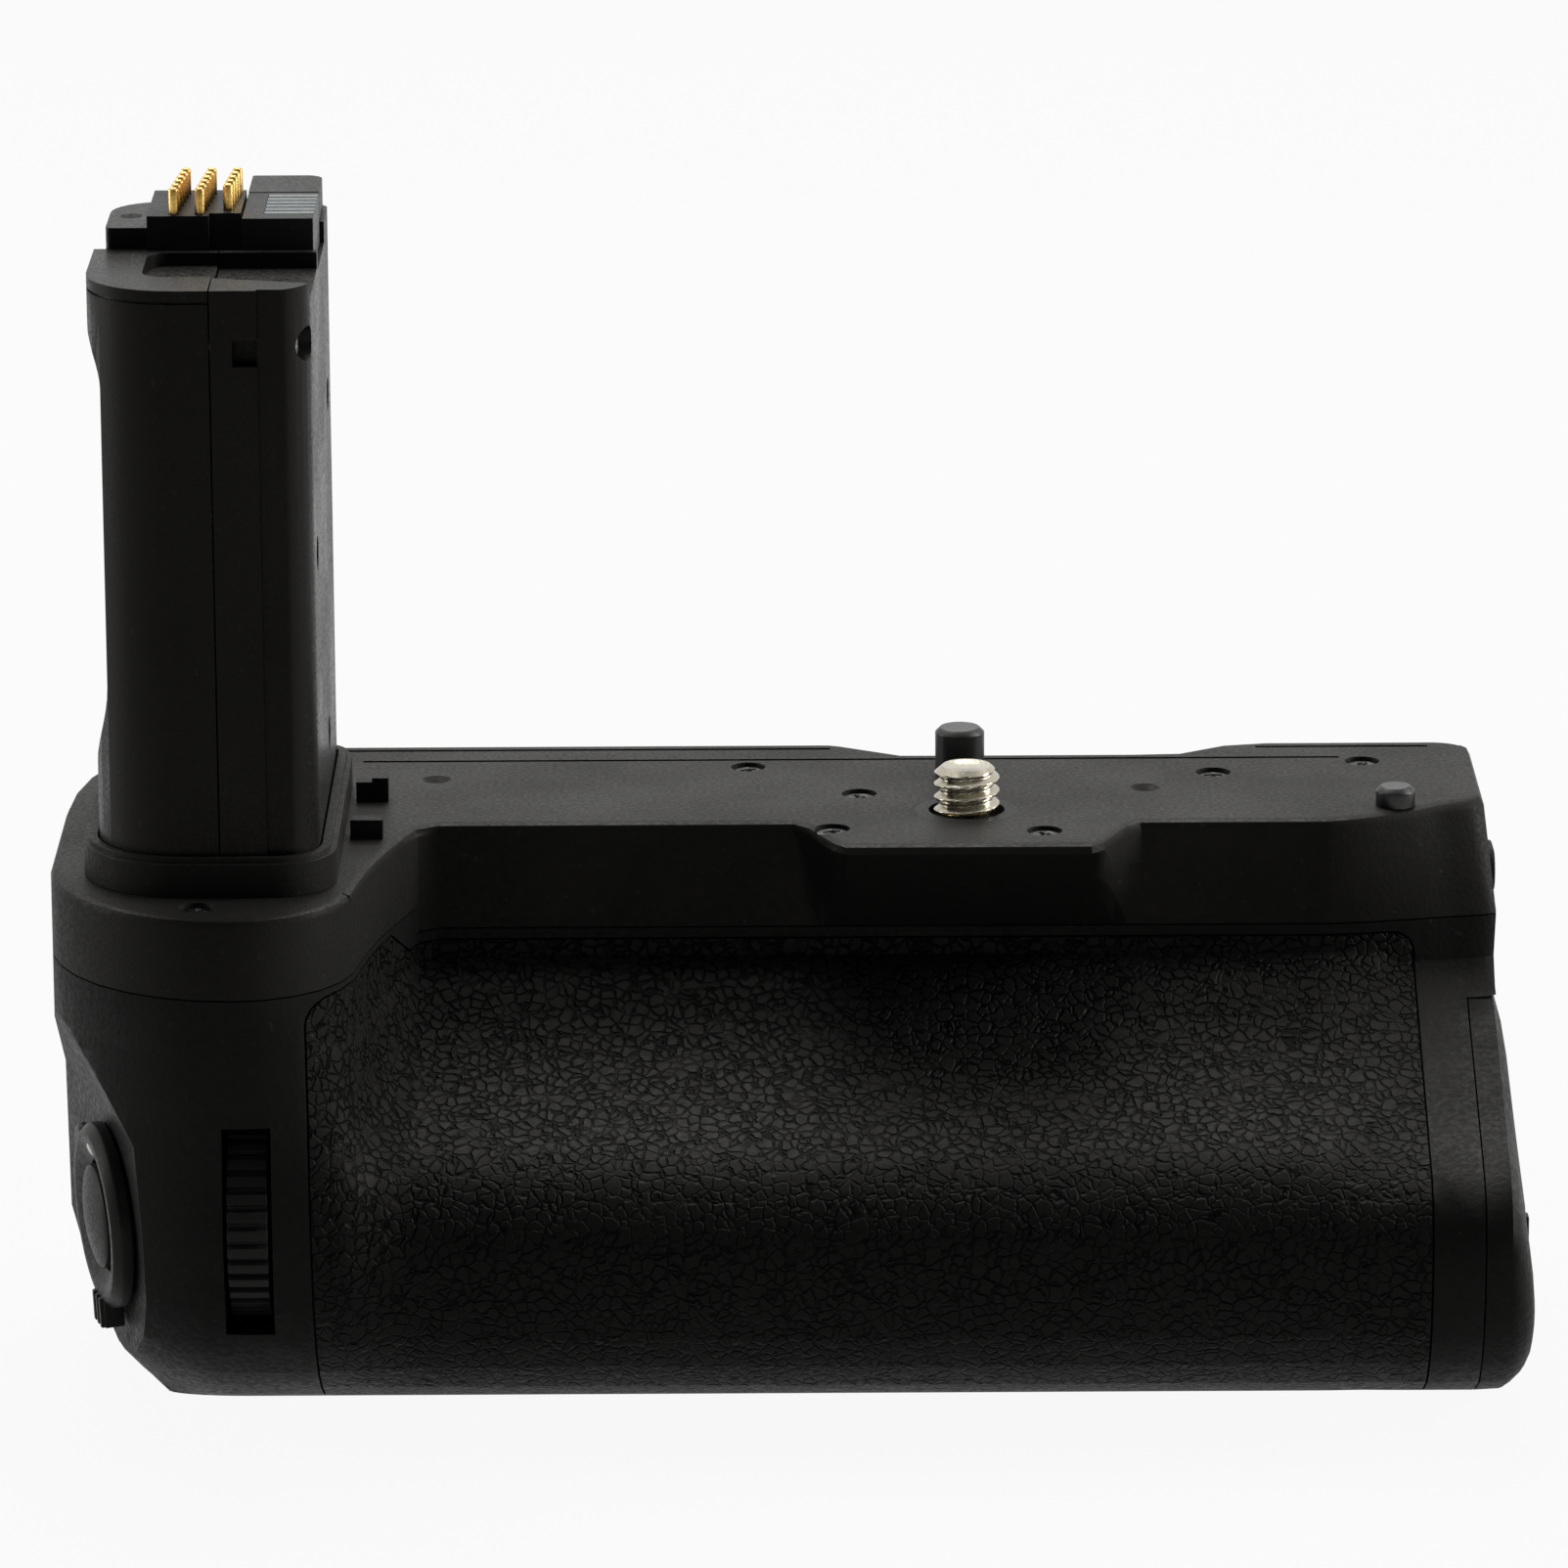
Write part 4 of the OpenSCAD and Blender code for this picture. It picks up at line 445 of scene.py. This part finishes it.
def mesh_of(name, build):
    """A mesh made by build(bm), smooth apart from its hard edges."""
    bm = bmesh.new()
    build(bm)
    bmesh.ops.recalc_face_normals(bm, faces=bm.faces)
    for face in bm.faces:
        face.smooth = True
    for edge in bm.edges:
        if len(edge.link_faces) == 2 and edge.calc_face_angle(0) > NEW_SMOOTH_ANGLE:
            edge.smooth = False
    mesh = bpy.data.meshes.new(name)
    bm.to_mesh(mesh)
    bm.free()
    return mesh


def grid_tube(bm, rows, place=Matrix.Identity(4)):
    """A tube through rings of points, closed at both ends."""
    rings = [[bm.verts.new(place @ Vector(p)) for p in row] for row in rows]
    for low, high in zip(rings, rings[1:]):
        for i in range(len(low)):
            k = (i + 1) % len(low)
            bm.faces.new((low[i], low[k], high[k], high[i]))
    bm.faces.new(list(reversed(rings[0])))
    bm.faces.new(rings[-1])


def circle(r, z, steps):
    turns = [2 * math.pi * i / steps for i in range(steps)]
    return [(r * math.cos(a), r * math.sin(a), z) for a in turns]


def share(value):
    """Value held between 0 and 1."""
    return min(1, max(0, value))


def threaded_screw(bm):
    """The camera screw: a helical thread with a chamfered nose, on its plain neck and pivot."""
    steps, per_pitch = 72, 16
    crest_edge, flank = 0.88, 0.76
    nose, nose_slope = 0.75 * MM, 1.1
    nose_rim, dimple_rim, dimple = 0.35 * MM, 0.5 * MM, 0.18 * MM
    neck_top = -0.1 * MM
    nose_r = SCREW_R - nose * nose_slope
    rows = [circle(PIVOT_R, PIVOT_BOTTOM, steps), circle(PIVOT_R, NECK_BOTTOM, steps),
            circle(NECK_R, NECK_BOTTOM, steps), circle(NECK_R, neck_top, steps)]
    count = int(SCREW_TOP / THREAD_PITCH * per_pitch)
    for k in range(count + 1):
        z = SCREW_TOP * k / count
        row = []
        for i in range(steps):
            turn = (z / THREAD_PITCH - i / steps) % 1.0
            crest = 1 - abs(2 * turn - 1)
            groove = THREAD_DEPTH * share((crest_edge - crest) / flank)
            r = min(SCREW_R - groove, nose_r + (SCREW_TOP - z) * nose_slope)
            a = 2 * math.pi * i / steps
            row.append((r * math.cos(a), r * math.sin(a), z))
        rows.append(row)
    inner = nose_r - nose_rim
    rows.append(circle(inner, SCREW_TOP, steps))
    rows.append(circle(inner - dimple_rim, SCREW_TOP - dimple, steps))
    grid_tube(bm, rows)


def cross_head(bm, place, shank, shank_r=SHANK_R, head_t=HEAD_T):
    """A small screw with a cross recess in its slightly domed head."""
    steps, rings = 48, 14
    arm, reach, depth = 0.21 * MM, 0.95 * MM, 0.5 * MM
    wall, ramp_out = 0.09 * MM, 0.35 * MM
    dome, rim_drop, face_share = 0.10 * MM, 0.12 * MM, 0.94
    rows = [circle(shank_r, -shank, steps), circle(shank_r, -head_t, steps), circle(HEAD_R, -head_t, steps),
            circle(HEAD_R, -rim_drop, steps)]
    for k in range(rings, 0, -1):
        r = HEAD_R * face_share * k / rings
        row = []
        for i in range(steps):
            a = 2 * math.pi * (i + 0.5) / steps
            x, y = r * math.cos(a), r * math.sin(a)
            across, along = min(abs(x), abs(y)), max(abs(x), abs(y))
            inside = share((arm - across) / wall + 0.5)
            ends = share((reach - along) / ramp_out)
            row.append((x, y, -dome * (r / HEAD_R) ** 2 - depth * inside * ends))
        rows.append(row)
    grid_tube(bm, rows, place)


def turned(k, step, start):
    """The turn of the k-th screw of a set, which its last tightening left."""
    return Matrix.Rotation(math.radians(step * k + start), 4, "Z")


def cover_screw_set(bm):
    for places, shank in ((LONG_SCREWS, LONG_SHANK), (SHORT_SCREWS, SHORT_SHANK)):
        for k, (x, y) in enumerate(places):
            place = Matrix.Translation((x * MM, y * MM, HEAD_TOP)) @ turned(k, 37, 15)
            cross_head(bm, place, shank + HEAD_TOP)


def tower_screw_set(bm):
    outwards = Matrix.Rotation(math.pi / 2, 4, "Y")
    for k, (y, z) in enumerate(TOWER_SCREWS):
        place = Matrix.Translation((TOWER_HEAD_X * MM, y * MM, z * MM)) @ outwards @ turned(k, 50, 20)
        cross_head(bm, place, TOWER_SHANK, TOWER_SHANK_R, TOWER_HEAD_T)


def platform_matrix():
    """From the shutter button's own frame, with Z out of the platform, to the row frame."""
    return (Matrix.Translation(PLATFORM) @ Matrix.Rotation(math.pi + PLATFORM_TURN, 4, "Z")
            @ Matrix.Rotation(math.pi / 2 + PLATFORM_TILT, 4, "Y"))


def index_dot(bm):
    """The painted bead on the dished face of the lock collar."""
    reach, r, steps = 6.6 * MM, 0.7 * MM, 24
    dome = [(1.0, -0.02), (1.0, 0.06), (0.86, 0.16), (0.55, 0.23), (0.2, 0.26)]
    slope = math.atan2(DISH_DEPTH, DISH_OUT - DISH_IN)
    height = COLLAR_TOP - DISH_DEPTH * (DISH_OUT - reach) / (DISH_OUT - DISH_IN)
    at = platform_matrix() @ Matrix.Translation((-reach, 0, height)) @ Matrix.Rotation(slope, 4, "Y")
    grid_tube(bm, [circle(r * part, z * MM, steps) for part, z in dome], at)


add_piece("threaded_camera_screw", threaded_screw, "screw", "nickel", replaces=["camera_screw"])
add_piece("cross_head_screws", cover_screw_set, "grip", "dark_metal", replaces=["cover_screws"])
add_piece("tower_cross_screws", tower_screw_set, "grip", "steel", replaces=["tower_screws"])
add_piece("index_dot", index_dot, "lock", "control_plastic", white_ink)


# Stage, light and camera. Lamps: name, place, aim, size, watts and, for a strip, its other size.
FLOOR_HALF = 3.0
FLOOR_GAP = 0.0002
FLOOR_TONES = ((0.25, 0.25, 0.25), (0.27, 0.27, 0.27))
FLOOR_GRAIN = 6 * MM
FLOOR_SHOWN = 0.93
WORLD_LIGHT = 0.08
WORLD_TURN = (-0.5, 0.2)
WORLD_BEHIND_CAMERA = 0.10
WHITE = (1, 1, 1, 1)
LAMPS = [
    ("top_back_soft", (-0.10, 0.45, 0.80), (-0.02, 0, 0), 0.7, 13.0, None),
    ("right_strip", (0.85, 0.10, 0.35), (-0.03, 0, 0.02), 0.3, 9.0, 0.7),
    ("left_strip", (-0.95, 0.15, 0.15), (-0.06, 0, 0), 0.3, 5.0, 0.7),
    ("front_fill", (-0.35, -0.9, 0.55), (-0.02, 0, 0), 0.6, 0.25, None),
]


def seen_directly(tree):
    """1 for rays of the camera and for what metal and glass show, 0 for light on the object."""
    path = node(tree, "ShaderNodeLightPath").outputs
    seen = arith(tree, "MAXIMUM", path["Is Camera Ray"], path["Is Glossy Ray"])
    return arith(tree, "MAXIMUM", seen, path["Is Transmission Ray"])


def floor_material():
    """Matt floor that shows white to the camera, with the object's soft shadow on it."""
    material, tree, shader, place = new_material("floor_white")
    tone = blend(tree, noise(tree, place, FLOOR_GRAIN, 2.0), *FLOOR_TONES)
    tree.links.new(tone, shader.inputs["Base Color"])
    shader.inputs["Roughness"].default_value = 0.9
    shader.inputs["Specular IOR Level"].default_value = 0.1
    shown = arith(tree, "MULTIPLY", seen_directly(tree), FLOOR_SHOWN)
    glow = node(tree, "ShaderNodeEmission", {"Color": WHITE, "Strength": 1.0}).outputs[0]
    mixed = node(tree, "ShaderNodeMixShader", {0: shown, 1: shader.outputs[0], 2: glow}).outputs[0]
    tree.links.new(mixed, tree.nodes["Material Output"].inputs["Surface"])
    return material


def white_floor():
    mesh = bpy.data.meshes.new("floor")
    half, z = FLOOR_HALF, cad_box[0].z - FLOOR_GAP
    corners = [(-half, -half, z), (half, -half, z), (half, half, z), (-half, half, z)]
    mesh.from_pydata(corners, [], [(0, 1, 2, 3)])
    mesh.materials.append(floor_material())
    link_object("floor", mesh)


def white_world():
    """White surround, dark behind the camera: bright to the camera and in metal, dimmer as light."""
    world = bpy.data.worlds.new("surround")
    bpy.context.scene.world = world
    world.use_nodes = True
    tree = world.node_tree
    path = node(tree, "ShaderNodeLightPath").outputs
    way = node(tree, "ShaderNodeTexCoord").outputs["Generated"]
    ahead = node(tree, "ShaderNodeSeparateXYZ", {0: way}).outputs["Y"]
    mirrored = ramp(tree, ahead, WORLD_TURN, WORLD_BEHIND_CAMERA, 1.0)
    shown = arith(tree, "MAXIMUM", mirrored, path["Is Camera Ray"])
    strength = node(tree, "ShaderNodeMix", {"Factor": seen_directly(tree), "A": WORLD_LIGHT, "B": shown})
    background = tree.nodes["Background"]
    background.inputs["Color"].default_value = WHITE
    tree.links.new(strength.outputs["Result"], background.inputs["Strength"])


def area_light(name, at, aim, size, power, size_y):
    data = bpy.data.lights.new(name, "AREA")
    data.energy = power
    data.size = size
    if size_y:
        data.shape = "RECTANGLE"
        data.size_y = size_y
    lamp = link_object(name, data)
    lamp.location = at
    lamp.rotation_mode = "QUATERNION"
    lamp.rotation_quaternion = (Vector(aim) - Vector(at)).to_track_quat("-Z", "Y")


def photo_camera():
    data = bpy.data.cameras.new("photo_camera")
    data.sensor_width = SENSOR
    data.lens = FOCAL_PX * SENSOR / IMAGE_PX
    data.clip_start, data.clip_end = CLIP
    up = Vector((0, math.sin(ELEVATION), math.cos(ELEVATION)))
    ahead = Vector((0, math.cos(ELEVATION), -math.sin(ELEVATION)))
    level = ahead.to_track_quat("-Z", "Y")
    camera = link_object("photo_camera", data)
    camera.location = Vector((CAMERA_RIGHT, 0, 0)) + CAMERA_UP * up - DISTANCE * ahead
    camera.rotation_mode = "QUATERNION"
    camera.rotation_quaternion = level @ Matrix.Rotation(-ROLL, 3, "Z").to_quaternion()
    bpy.context.scene.camera = camera


white_floor()
white_world()
for lamp in LAMPS:
    area_light(*lamp)
photo_camera()
bpy.context.scene.view_settings.view_transform = "Standard"
